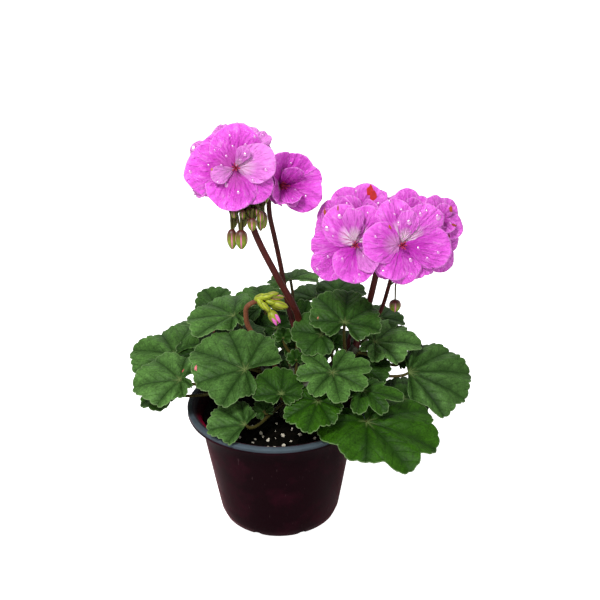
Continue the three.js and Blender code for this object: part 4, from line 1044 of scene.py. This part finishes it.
# %% Petal materials: silky petal, front and back
def petal_skin(name, inner, outer, vein, faded):
    """One side of a petal: its colour inside and outside, its veins and its pale parts."""
    skin, tree, shader = new_material(
        name, 0.4, Specular_IOR_Level=0.45, Sheen_Weight=0.02, Sheen_Roughness=0.4
    )
    shader.inputs["Subsurface Weight"].default_value = 0.18
    shader.inputs["Subsurface Radius"].default_value = (1.0, 0.25, 0.9)
    shader.inputs["Subsurface Scale"].default_value = 0.0015
    keys = ("share", "across", "pale", "eye", "inner_shade", "edge", "own")
    note = {key: node(tree, "Attribute", {"attribute_name": key}) for key in keys}
    share = {"Value": note["share"]}
    where = node(tree, "TexCoord").node.outputs["Object"]
    cloud = node(tree, "TexNoise", {"Scale": 130, "Detail": 4, "Roughness": 0.6}, {"Vector": where})
    # The colour turns from the inner to the outer one, cloudily, from a third of the way out.
    out = node(tree, "MapRange", {"From Min": 0.35, "From Max": 1.0}, share)
    out = node(tree, "Math", {"operation": "MULTIPLY_ADD", 1: 0.7}, {0: cloud, 2: out})
    out = node(tree, "Math", {"operation": "SUBTRACT", 1: 0.35, "use_clamp": True}, {0: out})
    skin_tone = node(tree, "MixRGB", {1: tone(inner), 2: tone(outer)}, {0: out})
    # Seven veins fan out, and finer ones between them begin a third of the way out.
    warp = node(tree, "Math", {"operation": "MULTIPLY_ADD", 1: 0.22}, {0: cloud, 2: note["across"]})
    lines = []
    for count, start, width in ((11.0, 0.0, 0.3), (22.0, 0.3, 0.35)):
        wave = node(tree, "Math", {"operation": "MULTIPLY", 1: count}, {0: warp})
        wave = node(tree, "Math", {"operation": "SINE"}, {0: wave})
        wave = node(tree, "Math", {"operation": "ABSOLUTE"}, {0: wave})
        span = {"From Max": width, "To Min": 1.0, "To Max": 0.0}
        line = node(tree, "MapRange", span, {"Value": wave})
        begin = node(tree, "MapRange", {"From Min": start, "From Max": start + 0.15}, share)
        lines.append(node(tree, "Math", {"operation": "MULTIPLY"}, {0: line, 1: begin}))
    veins = node(tree, "Math", {"operation": "MAXIMUM"}, {0: lines[0], 1: lines[1]})
    fade = node(tree, "MapRange", {"From Max": 0.95, "To Min": 0.5, "To Max": 0.05}, share)
    drawn = node(tree, "Math", {"operation": "MULTIPLY"}, {0: veins, 1: fade})
    skin_tone = node(tree, "MixRGB", {2: tone(vein)}, {0: drawn, 1: skin_tone})
    paler = node(tree, "Math", {"operation": "MULTIPLY", 1: 0.75}, {0: note["pale"]})
    skin_tone = node(tree, "MixRGB", {2: tone(faded)}, {0: paler, 1: skin_tone})
    # Creases run out with the veins. Their crests get a painted highlight, paler, and their hollows a
    # painted shade, deeper.
    fan = node(tree, "CombineXYZ", {}, {0: warp, 1: note["share"], 2: note["own"]})
    fan = node(tree, "Mapping", {"Scale": (2.6, 1.1, 1.0)}, {"Vector": fan})
    crease = node(tree, "TexNoise", {"Scale": 3.0, "Detail": 5, "Roughness": 0.68}, {"Vector": fan})
    outer_part = node(tree, "MapRange", {"From Min": 0.1, "From Max": 0.7}, share)
    span = {"From Min": 0.52, "From Max": 0.74, "To Max": 0.6}
    painted_crest_light = node(tree, "MapRange", span, {"Value": crease})
    painted_crest_light = node(tree, "Math", {"operation": "MULTIPLY"}, {0: painted_crest_light, 1: outer_part})
    skin_tone = node(tree, "MixRGB", {2: tone(faded)}, {0: painted_crest_light, 1: skin_tone})
    span = {"From Min": 0.5, "From Max": 0.28, "To Max": 0.65}
    painted_hollow_shade = node(tree, "MapRange", span, {"Value": crease})
    skin_tone = node(tree, "MixRGB", {2: tone(vein)}, {0: painted_hollow_shade, 1: skin_tone})
    # The white eye lies in the inner half of the petal, between crimson lines on the veins.
    begin = node(tree, "MapRange", {"From Min": 0.05, "From Max": 0.14}, share)
    span = {"From Min": 0.28, "From Max": 0.55, "To Min": 1.0, "To Max": 0.0}
    finish = node(tree, "MapRange", span, share)
    eye = node(tree, "Math", {"operation": "MULTIPLY"}, {0: begin, 1: finish})
    eye = node(tree, "Math", {"operation": "MULTIPLY"}, {0: eye, 1: note["eye"]})
    wave = node(tree, "Math", {"operation": "MULTIPLY", 1: 11.0}, {0: warp})
    wave = node(tree, "Math", {"operation": "SINE"}, {0: wave})
    wave = node(tree, "Math", {"operation": "ABSOLUTE"}, {0: wave})
    span = {"From Min": 0.3, "From Max": 0.75, "To Min": 0.9, "To Max": 0.0}
    lined = node(tree, "MapRange", span, {"Value": wave})
    skin_tone = node(tree, "MixRGB", {2: tone("ffe2fb")}, {0: eye, 1: skin_tone})
    crimson = node(tree, "Math", {"operation": "MULTIPLY"}, {0: eye, 1: lined})
    skin_tone = node(tree, "MixRGB", {2: tone("cc2496")}, {0: crimson, 1: skin_tone})
    # Painted shade darkens some petals deep inside the bloom, and the claw of each is dark crimson.
    span = {"From Min": 0.1, "From Max": 0.75, "To Min": 0.95, "To Max": 0.0}
    inner_shade_mask = node(tree, "MapRange", span, share)
    inner_shade_mask = node(tree, "Math", {"operation": "MULTIPLY"}, {0: inner_shade_mask, 1: note["inner_shade"]})
    skin_tone = node(tree, "MixRGB", {2: tone("bc0a98")}, {0: inner_shade_mask, 1: skin_tone})
    span = {"From Min": 0.02, "From Max": 0.16, "To Min": 0.9, "To Max": 0.0}
    claw = node(tree, "MapRange", span, share)
    skin_tone = node(tree, "MixRGB", {2: tone("8e1050")}, {0: claw, 1: skin_tone})
    # The margin is paler over half a millimetre, as it is thin and lets the light through.
    span = {"From Min": 0.2, "From Max": 0.8, "To Min": 0.4, "To Max": 0.0}
    thin = node(tree, "MapRange", span, {"Value": note["edge"]})
    skin_tone = node(tree, "MixRGB", {2: tone(faded)}, {0: thin, 1: skin_tone})
    tree.links.new(skin_tone, shader.inputs["Base Color"])
    relief = node(tree, "Math", {"operation": "MULTIPLY_ADD", 1: -0.7}, {0: veins, 2: cloud})
    folds = node(tree, "Bump", {"Strength": 0.7, "Distance": 0.004}, {"Height": crease})
    into = {"Height": relief, "Normal": folds}
    bump = node(tree, "Bump", {"Strength": 0.6, "Distance": 0.0006}, into)
    tree.links.new(bump, shader.inputs["Normal"])
    # Where the petal is wet, in patches, it shines more.
    span = {"From Min": 0.4, "From Max": 0.62, "To Min": 0.5, "To Max": 0.22}
    wet = node(tree, "MapRange", span, {"Value": cloud})
    tree.links.new(wet, shader.inputs["Roughness"])
    return skin


petal_front = petal_skin("silky petal, front", "c618bc", "ee5ce4", "9c0a90", "fca8f4")
petal_back = petal_skin("silky petal, back", "dc58d0", "ea86df", "bc3eb2", "f4b8ea")

print("petal finishes:", petal_front.name, "|", petal_back.name)

# %% Materials of a bloom's small parts
filament, tree, shader = new_material("stamen", 0.45)
where = node(tree, "TexCoord").node.outputs["Object"]
blotch = node(tree, "TexNoise", {"Scale": 400}, {"Vector": where})
red = node(tree, "MixRGB", {1: tone("9c1038"), 2: tone("d8486a")}, {0: blotch})
tree.links.new(red, shader.inputs["Base Color"])

# The cup in each bloom's throat is painted shade: nearly black, for the shadow between the claws.
throat_shade, tree, shader = new_material("dark throat of a bloom", 0.6, Specular_IOR_Level=0.2)
where = node(tree, "TexCoord").node.outputs["Object"]
blotch = node(tree, "TexNoise", {"Scale": 500}, {"Vector": where})
red = node(tree, "MixRGB", {1: tone("1c0a0c"), 2: tone("5a0f28")}, {0: blotch})
tree.links.new(red, shader.inputs["Base Color"])

sepal, tree, shader = new_material("hairy sepal", 0.6, Sheen_Weight=0.3)
where = node(tree, "TexCoord").node.outputs["Object"]
patch = node(tree, "TexNoise", {"Scale": 200, "Detail": 3}, {"Vector": where})
green = node(tree, "MixRGB", {1: tone("5e7426"), 2: tone("8a5a38")}, {0: patch})
tree.links.new(green, shader.inputs["Base Color"])
print("finishes of small parts:", filament.name, "|", throat_shade.name, "|", sepal.name)

# %% Petals and blooms
LARGE_PETAL = 22  # in mm; longer petals get more points
PETAL_THICK = 0.3  # in mm
STAMENS, STAMEN_TURN = 6, 1.05  # how many, and the angle from one to the next
# The dark cup is painted shade, nearly black where the bloom's throat lies in shadow.
CUP_RADIUS = 2.8  # of the dark cup that closes the throat, in mm


def petal_maker(flower, row, number, seed):
    """The function that carries a grid's points to one petal."""
    direction, length, width, lean, layer = row[:5]
    pale, eye, inner_shade = row[5:] if len(row) > 5 else flower["looks"]
    axis = heading(*flower["face"])
    up = (Vector((0, 0, 1)) - axis * axis.z).normalized()
    turn, tilt = math.radians(direction), math.radians(lean)
    flat = up.cross(axis) * math.cos(turn) + up * math.sin(turn)
    out = flat * math.cos(tilt) + axis * math.sin(tilt)
    normal = axis * math.cos(tilt) - flat * math.sin(tilt)
    side = normal.cross(out)
    root = Vector(flower["at"]) + axis * layer
    radius = width / 2
    middle = length - radius
    spread = math.asin(min(radius / middle, 0.95))

    def place(u, v):
        angle = u * spread
        # The margin is a round end, a circle as wide as the petal, with a wave.
        half = radius**2 - (middle * math.sin(angle)) ** 2
        reach = middle * math.cos(angle) + math.sqrt(max(half, 0))
        wave = noise.noise(Vector((u * 2.2, seed, 3))) + 0.5 * noise.noise(Vector((u * 6, seed, 4)))
        reach *= 1 + 0.05 * wave * v * v
        # The claw is narrow, and the petal has its full width from 0.44 of its length.
        narrow = angle * (0.22 + 0.78 * smooth(v / 0.44))
        x, y = reach * v * math.cos(narrow), reach * v * math.sin(narrow)
        # It arches back, is a little domed, and has ruffles, folds and fine creases.
        rise = length * v**2 * (0.02 * math.sin(5 * angle + 2.1 * number) - 0.05)
        rise += length * 0.03 * math.sin(math.pi * v) * (1 - u * u)
        rise += length * 0.035 * v**3 * math.sin(6.5 * u + seed)
        rise += 1.9 * noise.noise(Vector((x / 9, y / 9, seed * 1.7))) * v
        rise += 1.0 * noise.noise(Vector((angle * 8, v * 1.5, seed * 2.3))) * smooth(v / 0.4)
        rise += 0.3 * noise.noise(Vector((x / 2.6, y / 2.6, seed))) * v
        spot = root + out * x + side * y + normal * rise
        notes = {"share": v, "across": u, "pale": pale, "eye": eye, "inner_shade": inner_shade}
        notes.update(edge=(1 - v) * reach, own=seed * 0.7)
        return spot, notes

    return place


def make_bloom(name, flower, seed):
    """One bloom: its petals, five sepals behind them, a near-black cup of painted shade behind its
    claws, and a tuft of stamens, if it is open."""
    parts, axis, root = [], heading(*flower["face"]), Vector(flower["at"])
    for number, row in enumerate(flower["petals"]):
        columns, rows = (34, 26) if row[1] > LARGE_PETAL else (24, 18)
        maker = petal_maker(flower, row, number, seed + number * 1.3)
        petal = sheet("petal", columns, rows, maker)
        parts.append(thicken(petal, PETAL_THICK, petal_front, petal_back))
    back = dict(at=root - axis * 2.2, face=flower["face"], looks=(0, 0, 0))
    for k in range(5):
        leaf = sheet("sepal", 4, 6, petal_maker(back, (72 * k + 20, 8, 3.4, -30, 0), k, seed + k))
        parts.append(thicken(leaf, PETAL_THICK, sepal))
    bpy.ops.object.select_all(action="DESELECT")
    bpy.ops.mesh.primitive_uv_sphere_add(
        segments=16, ring_count=8, radius=CUP_RADIUS * MM, location=(root - axis * 2.9) * MM
    )
    cup = bpy.context.object
    bpy.ops.object.transform_apply(location=True)
    cup.data.materials.append(throat_shade)
    tidy(cup)
    parts.append(cup)
    side = axis.orthogonal()
    for k in range(STAMENS if flower.get("open", True) else 0):
        lean = Matrix.Rotation(k * STAMEN_TURN + seed, 3, axis) @ side
        tip = root + axis * (5.5 + (k % 3)) + lean * (1.2 + 0.5 * (k % 2))
        points = (root - axis, root + axis * 2.5 + lean * 0.5, tip, tip + axis * 0.9)
        parts.append(tube("stamen", points, (0.3, 0.26, 0.24, 0.55, 0.35), filament, 1))
    return join(name, parts)


blooms, seed = [], 1
for head, flowers in HEADS.items():
    for number, flower in enumerate(flowers):
        bloom = make_bloom(f"bloom_{head}_{number + 1}", flower, seed)
        settle(bloom, "petal", "petals_" + head)
        blooms.append(bloom)
        seed += 10
    print(head, "head:", sum(len(b.data.polygons) for b in blooms), "faces so far")

# %% [markdown]
# ## Flower stalks, rays and buds
#
# The main stalks are dark red-brown and finely haired. Under the petals the rays fan out of
# the knob, each to the back of a bloom, and the unopened buds hang from rays that bend over.
# A bud is an oval of five sepals. On a ripe one pink petals show at the seams and its base
# is brown, and a young one is green with darker seams. It starts as a ball, drawn out to a
# point and ribbed.

# %% Stalk and bud materials
def haired(name, dark, light, scale):
    """A stalk's skin, streaked along its height, with short hairs that are a weak sheen."""
    skin, tree, shader = new_material(
        name, 0.5, Specular_IOR_Level=0.25, Sheen_Weight=0.04, Sheen_Roughness=0.4
    )
    shader.inputs["Sheen Tint"].default_value = tone("d8b8a8")
    where = node(tree, "TexCoord").node.outputs["Object"]
    long = node(tree, "Mapping", {"Scale": (scale, scale, scale / 6)}, {"Vector": where})
    streak = node(tree, "TexNoise", {"Scale": 1, "Detail": 4}, {"Vector": long})
    mixed = node(tree, "MixRGB", {1: tone(dark), 2: tone(light)}, {0: streak})
    tree.links.new(mixed, shader.inputs["Base Color"])
    bump = node(tree, "Bump", {"Strength": 0.25, "Distance": 0.0003}, {"Height": streak})
    tree.links.new(bump, shader.inputs["Normal"])
    return skin


stalk_skin = haired("flower stalk skin", "260605", "581812", 500)
ray_skin = haired("ray skin, olive brown", "241c0c", "5c5a20", 600)
hook_skin = haired("young stalk skin, reddish", "4e2014", "8e5a3c", 400)

bud_skin, tree, shader = new_material("bud sepals with petal seams", 0.45, Sheen_Weight=0.05)
note = {key: node(tree, "Attribute", {"attribute_name": key}) for key in ("run", "seam", "blush")}
where = node(tree, "TexCoord").node.outputs["Object"]
patch = node(tree, "TexNoise", {"Scale": 500, "Detail": 3}, {"Vector": where})
# run goes from 0 at the bud's base to 1 at its tip, seam is 0 on a seam, and blush is 0 for a
# young bud and 1 for a ripe one.
top = node(tree, "MapRange", {"From Min": 0.1, "From Max": 0.6}, {"Value": note["run"]})
green = node(tree, "MixRGB", {1: tone("607404"), 2: tone("c0c822")}, {0: patch})
ripe = node(tree, "MixRGB", {1: tone("4a6400"), 2: tone("98a80c")}, {0: patch})
green = node(tree, "MixRGB", {}, {0: note["blush"], 1: green, 2: ripe})
brown = node(tree, "MixRGB", {1: tone("4c120a")}, {0: top, 2: green})
brown = node(tree, "MixRGB", {}, {0: note["blush"], 1: green, 2: brown})
seam_tone = node(tree, "MixRGB", {1: tone("2f3a08"), 2: tone("f070b4")}, {0: note["blush"]})
line = node(tree, "MapRange", {"From Max": 0.42, "To Min": 1.0, "To Max": 0.0}, {"Value": note["seam"]})
low = node(tree, "MapRange", {"From Min": 0.1, "From Max": 0.45}, {"Value": note["run"]})
pink = node(tree, "Math", {"operation": "MULTIPLY"}, {0: line, 1: low})
seamed = node(tree, "MixRGB", {}, {0: pink, 1: brown, 2: seam_tone})
tree.links.new(seamed, shader.inputs["Base Color"])

rolled, tree, shader = new_material("rolled petal tip", 0.4)
where = node(tree, "TexCoord").node.outputs["Object"]
patch = node(tree, "TexNoise", {"Scale": 700}, {"Vector": where})
pink = node(tree, "MixRGB", {1: tone("c8289c"), 2: tone("f08ad4")}, {0: patch})
tree.links.new(pink, shader.inputs["Base Color"])
print("stalk finishes:", stalk_skin.name, "|", ray_skin.name, "|", hook_skin.name)

# %% Buds
def bud(at, to, length, width, blush=1.0, skin=bud_skin):
    """A ribbed bud with its middle at a point, whose tip points to a direction."""
    bpy.ops.object.select_all(action="DESELECT")
    bpy.ops.mesh.primitive_uv_sphere_add(segments=20, ring_count=12, radius=1)
    made = bpy.context.object
    turn = Vector(to).normalized().to_track_quat("Z", "X")
    notes = {"run": [], "seam": [], "blush": []}
    for point in made.data.vertices:
        x, y, z = point.co
        angle, thick = math.atan2(y, x), 1 - 0.3 * max(z, 0) ** 2 + 0.08 * max(-z, 0)
        rib = abs(math.cos(2.5 * angle))
        notes["run"].append((z + 1) / 2)
        notes["seam"].append(rib)
        notes["blush"].append(blush)
        thick *= 0.93 + 0.09 * rib
        shape = Vector((x * thick * width / 2, y * thick * width / 2, z * length / 2))
        point.co = (Vector(at) + turn @ shape) * MM
    for key, values in notes.items():
        made.data.attributes.new(key, "FLOAT", "POINT").data.foreach_set("value", values)
    made.data.materials.append(skin)
    tidy(made)
    return made


def spring(hub, top, end):
    """Points of a ray that rises, bends over and hangs down."""
    hub, top, end = Vector(hub), Vector(top), Vector(end)
    return catmull((hub, top, top.lerp(end, 0.35), end), 12)


def arch(hub, end):
    """Points of a ray that rises in a slight arch."""
    hub, end = Vector(hub), Vector(end)
    middle = hub.lerp(end, 0.5) + Vector((0, 0, (end - hub).length * 0.12))
    return catmull((hub, middle, end), 6)


# %% Flower stalks
# points and radii are the main stalk's, whose last point is the knob. A row of buds says where
# the bud's ray turns down, where the bud's middle hangs, its length and width, and, if the
# ray doesn't start at the knob, where it does. hooks are more bent rays, to the same buds.
STALKS = {
    "left": dict(
        points=((18, 11, 110), (14, 8.4, 133), (10.5, 3.4, 146.5), (0, -2, 170.5),
                (-9.6, -4, 193), (-15.6, -2, 211)),
        radii=(2.3, 1.9),
        buds=(((-24.8, -6, 214), (-24.6, -10, 196), 13, 6.4),
              ((-18.8, -10, 214), (-19, -13, 197), 12.5, 7.6),
              ((-12, -11, 215), (-12.5, -12, 206), 8.5, 5.6),
              ((-7, -1, 213), (-8, 1, 202), 11, 5),
              ((-23, -3, 215), (-23.5, -4, 205), 9, 4.6),
              ((-16, -3, 216), (-17.5, -5, 206), 9, 4.6),
              ((-10, -8, 217), (-7.6, -8, 209), 8, 4.4),
              ((-12, 2, 217), (-12.5, 4, 205), 9, 4.6),
              ((-9, 4, 218), (-5, 6, 216), 8, 5),
              ((-22, -7, 217), (-23, -8, 211), 6, 3.6),
              ((-17, -9, 217), (-18, -10, 211.5), 6.5, 4),
              ((-13.5, -7, 218), (-14, -8, 212.5), 6, 3.6),
              ((-9.5, -6, 218), (-9.8, -7, 212), 6.5, 4),
              ((-5, 4, 224), (-4.8, 4, 218.5), 9, 5.4),
              ((-6, 1, 214), (-6, 2, 203), 11, 4.6),
              ((-21, 2, 217), (-22, 3, 210), 7, 4)),
        hooks=(((-23, -8, 213), (-23.6, -9.5, 200)), ((-21, -9, 214), (-19.8, -12, 200)),
               ((-17, -9, 213), (-18.4, -12, 200)), ((-19, -9, 215), (-13.4, -11.5, 208)),
               ((-14, -9, 214), (-12, -11.5, 208)), ((-11, -6, 214), (-12.6, -11, 207)),
               ((-9, -5, 215), (-8, -7.5, 211)))),
    "side": dict(
        points=((16, 8, 110), (11, 16, 124), (7, 19, 140), (3.4, 18, 165), (0.2, 13, 186),
                (-2.6, 10, 203), (-3, 9, 216)),
        radii=(1.6, 1.5), buds=()),
    "right": dict(
        points=((49, 11.5, 110), (53, 15, 125), (57.6, 15.8, 139), (61.5, 12, 160), (64, 8, 178)),
        radii=(2.2, 1.9), buds=()),
    "right_back": dict(
        points=((46, 10, 107), (46, 18, 116), (55, 23, 122), (65, 20, 132), (71, 14, 157),
                (74, 13, 172), (73, 12, 188)),
        radii=(1.4, 1.2), buds=(((74, 12, 157), (74, 11, 141), 8.5, 7.6, (70.6, 13.5, 154)),)),
}
for name, made in STALKS.items():
    hub = made["points"][-1]
    parts = [tube("stalk", catmull(made["points"], 20), made["radii"], stalk_skin, 3)]
    for flower in HEADS.get(name, ()):
        back = Vector(flower["at"]) - heading(*flower["face"]) * 1.5
        parts.append(tube("ray", arch(hub, back), (0.9, 0.8, 1.3), ray_skin, 1))
    for top, end in made.get("hooks", ()):
        parts.append(tube("hook", spring(hub, top, end), (0.9, 0.6), ray_skin, 1))
    for top, end, length, width, *start in made["buds"]:
        hook = spring(start[0] if start else hub, top, Vector(end) + Vector((0, 0, length * 0.45)))
        parts.append(tube("spring", hook, (0.65, 0.5) if start else (0.9, 0.75), ray_skin, 1))
        parts.append(bud(end, (0, 0, -1), length, width))
    stalk = join("stalk_" + name, parts)
    settle(stalk, "stalk", "flower_stalk_" + name)
    print(stalk.name, len(stalk.data.polygons), "faces")

# %% Nodding bunch of young buds
BUNCH = (
    (-1.7, -0.6, 94), (-1.5, 4, 103), (-7, 8, 113), (-14.5, 12, 121.5), (-18.2, 12.5, 128.3),
    (-19, 12, 135.5), (-18, 11, 142), (-11, 8.5, 147.5),
)
BUNCH_BUDS = [  # middle, direction, length and width, and how ripe it is, from 0 to 1
    ((-9.5, 8, 149.5), (0.9, -0.2, 0.5), 9, 4.6, 0.1),
    ((-6, 7, 150.5), (1, -0.1, 0.2), 9, 4.2, 0.0),
    ((0.5, 9, 149), (1, 0.2, -0.1), 10, 4.2, 0.9),
    ((2.6, 7, 144.6), (1, -0.1, -0.3), 10.5, 5.2, 0.15),
    ((-3, 7, 146.8), (1, -0.2, -0.25), 8, 3.8, 0.0),
    ((-9, 6, 146), (0.5, -0.3, -0.8), 9, 3.8, 0.0),
    ((-6.5, 5, 144.6), (0.6, -0.3, -0.7), 8, 3.6, 0.1),
    ((-4.5, 6, 141.6), (0.5, -0.3, -0.7), 5, 3.6, 0.0),
    ((-1.4, 5, 137.2), (0.45, -0.2, -0.8), 10, 6.4, 0.2),
    ((-2, 8, 151.5), (1, 0.1, 0.1), 8, 3.6, 0.3),
    ((-5, 10, 148), (0.9, 0.4, -0.1), 8, 3.8, 0.0),
    ((-10, 10, 145), (0.2, 0.4, -0.9), 7, 3.6, 0.2),
    ((0, 10, 142), (0.8, 0.2, -0.5), 8, 4.2, 0.1),
    ((-7, 11, 144), (0.5, 0.5, -0.7), 7, 3.8, 0.1),
]
parts = [tube("stalk", catmull(BUNCH, 24), (1.8, 1.5), hook_skin, 3)]
for at, to, length, width, blush in BUNCH_BUDS:
    parts.append(bud(at, to, length, width, blush))
    base = Vector(at) - Vector(to).normalized() * length * 0.4
    parts.append(tube("ray", arch(BUNCH[-1], base), (0.9, 0.7), hook_skin, 1))
# The lowest bud has begun to open: three petals, still rolled up, stand out of its tip.
for x, y, z in ((-1.1, 2.3, 135.8), (1.1, 2.5, 137.4), (0.1, 4.2, 136.0)):
    parts.append(bud((x, y, z), (0.4, -0.15, -0.8), 6.5, 2.2, 0, rolled))
bunch = join("bunch_of_buds", parts)
settle(bunch, "bud", "bud_bunch")
print(bunch.name, len(bunch.data.polygons), "faces")

# %% [markdown]
# ## Water drops and small marks
#
# The flowers have just been watered. Drops stand on the petals as small clear domes. Those in
# sight are placed along the camera's line of sight to the petal that they lie on, and more
# are strewn over the rest of the petals by chance. Here and there lies a withered scrap.

# %% Water drops
def surface_of(pieces):
    """Something to shoot rays at, made of several pieces."""
    points, faces = [], []
    for piece in pieces:
        start = len(points)
        points += [v.co.copy() for v in piece.data.vertices]
        faces += [[start + k for k in face.vertices] for face in piece.data.polygons]
    return BVHTree.FromPolygons(points, faces)


def on_surface(target, across, down):
    """The point and normal of a surface at a point of the picture."""
    spot, normal, _, _ = target.ray_cast(CAMERA_AT * MM, sight(across, down))
    if spot is not None and normal.dot(sight(across, down)) > 0:
        normal = -normal
    return spot, normal


def stuck(spot, normal, wide, long, thick):
    """A place on a surface for a lump with those half widths and that half height in mm."""
    turn = normal.to_track_quat("Z", "Y").to_matrix().to_4x4()
    return Matrix.Translation(spot) @ turn @ Matrix.Diagonal((wide * MM, long * MM, thick * MM, 1))


DROPS = [  # point of the picture, and the size in mm; the drop's radius is about 0.8 of that
    (194, 148, 2.0), (230, 135.4, 1.0), (246, 145, 1.4), (233, 146, 1.0), (190.4, 171.7, 1.3),
    (226.9, 185, 1.8), (238.4, 192.4, 1.2), (266, 170, 1.3), (221.7, 165.7, 1.1), (208.6, 165, 0.9),
    (226.4, 156, 1.0), (245, 154.3, 1.5), (263.6, 135, 1.1), (252.9, 180.7, 1.0), (215, 150, 0.8),
    (240, 160, 0.8), (291, 163, 0.9), (306, 196, 0.9), (340, 216.3, 2.1), (326.7, 228.5, 2.2),
    (346.7, 203.8, 1.2), (355.8, 191.3, 1.2), (420.8, 214.3, 1.3), (438.3, 217.2, 2.3),
    (409.2, 222.2, 1.7), (398.3, 223.8, 1.6), (390, 201.3, 1.1), (378.3, 203, 1.0),
    (395, 214.3, 1.0), (438.3, 252.5, 1.2), (427.5, 258, 1.0), (418.3, 247.7, 0.9),
    (410.8, 260, 1.5), (383.3, 270.8, 1.0), (363.3, 256.3, 1.2), (375.8, 236.7, 1.1),
    (342.5, 258.8, 1.0), (317.5, 269.3, 1.4), (426.7, 210.5, 0.8), (359.2, 274.7, 0.9),
    (411.7, 273.8, 1.0), (450.8, 223, 1.1), (333, 236, 0.9), (368, 213, 0.9), (401, 236, 0.8),
]
DROPS_STREWN = 7  # more of them on each bloom
petals = surface_of(blooms)
places = []
for across, down, size in DROPS:
    spot, normal = on_surface(petals, across, down)
    if spot is not None:
        places.append(stuck(spot, normal, 0.8 * size, size * dice.uniform(0.7, 1.0), size * 0.4))
for bloom in blooms:
    skin = [face for face in bloom.data.polygons if face.material_index == 0 and face.normal.z > -0.2]
    for face in dice.sample(skin, DROPS_STREWN):
        size = dice.uniform(0.3, 0.9)
        places.append(stuck(face.center.copy(), face.normal.copy(), size, size, size * 0.5))

bpy.ops.object.select_all(action="DESELECT")
bpy.ops.mesh.primitive_ico_sphere_add(subdivisions=2, radius=1)
drop = bpy.context.object
bpy.ops.object.shade_smooth()
drops = copies("water_drops", drop, places)
settle(drops, "petal", "petals_left", "petals_side", "petals_right")
# A drop is a lens: the petal shows through it darker at its top and lighter at its foot, and
# where it looks to the key lamp it has a glint. A drop is only a few pixels wide, so no
# light is traced through it here, and its colours say this.
water, tree, shader = new_material("clear water", 0.12, IOR=1.333, Coat_Weight=1.0, Coat_Roughness=0.1)
facing = node(tree, "NewGeometry").node.outputs["Normal"]
parts = node(tree, "SeparateXYZ", {}, {0: facing}).node
lens = node(tree, "MapRange", {"From Min": 0.75, "From Max": -0.5}, {"Value": parts.outputs["Z"]})
colour = node(tree, "MixRGB", {1: tone("bc3cb2"), 2: tone("efb2e8")}, {0: lens})
TO_KEY_LAMP = (-0.36, -0.62, 0.7)
lamp_side = node(
    tree, "VectorMath", {"operation": "DOT_PRODUCT", 1: TO_KEY_LAMP}, {0: facing}
).node
towards = {"Value": lamp_side.outputs["Value"]}
glint = node(tree, "MapRange", {"From Min": 0.91, "From Max": 0.96}, towards)
colour = node(tree, "MixRGB", {2: tone("ffffff")}, {0: glint, 1: colour})
tree.links.new(colour, shader.inputs["Base Color"])
drops.data.materials.append(water)
print(len(places), "drops")

# %% Withered scraps
SCRAPS = [  # point of the picture, half length and half width in mm, and colour
    (370.5, 191, 3.2, 2.2, "e01c1c"), (374, 197, 3.4, 2.4, "dc1420"), (325, 212, 2.4, 0.8, "a85a1c"),
    (451, 209, 1.8, 1.2, "b0581c"), (454, 225, 1.8, 1.3, "8e3a1a"), (390, 227, 1.4, 0.9, "c06a20"),
    (338, 208, 1.6, 0.5, "a8601c"), (449, 236, 1.0, 0.7, "a04a1c"), (212, 169.5, 0.8, 0.6, "d8b04a"),
    (214, 332, 1.2, 0.7, "e0707c"), (196, 368, 1.6, 0.9, "f08c98"), (183, 371, 1.2, 0.8, "e0606c"),
    (423, 343, 1.2, 0.7, "c88a80"), (318, 318, 0.8, 0.5, "c89070"),
]
SCRAP_THICK = 0.35  # half of it, in mm
leaves = [o for o in bpy.data.objects if o.name.startswith("blade_")]
everything = surface_of(blooms + leaves)
scraps = []
for k, (across, down, long, wide, code) in enumerate(SCRAPS):
    spot, normal = on_surface(everything, across, down)
    if spot is None:
        continue
    place = stuck(spot, normal, wide, long, SCRAP_THICK)
    scrap = copies(f"scrap_{k}", lump("scrap", 0.6), [place])
    dry, tree, shader = new_material(f"withered petal {code}", 0.75)
    where = node(tree, "TexCoord").node.outputs["Object"]
    fleck = node(tree, "TexNoise", {"Scale": 900, "Detail": 3}, {"Vector": where})
    red = node(tree, "MixRGB", {1: tone(code), 2: tone("8c2818")}, {0: fleck})
    tree.links.new(red, shader.inputs["Base Color"])
    scrap.data.materials.append(dry)
    scraps.append(scrap)
scraps = join("withered_scraps", scraps)
settle(scraps, "petal", "petals_right", "petals_left")
print(scraps.name, len(scraps.data.polygons), "faces")

# %% Sizes and finish
low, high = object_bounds()
for k, side in enumerate("xyz"):
    under, over = (cad_low[k] - low[k]) / MM, (high[k] - cad_high[k]) / MM
    print(side, "outside the CAD box by", round(under, 1), "and", round(over, 1), "mm")
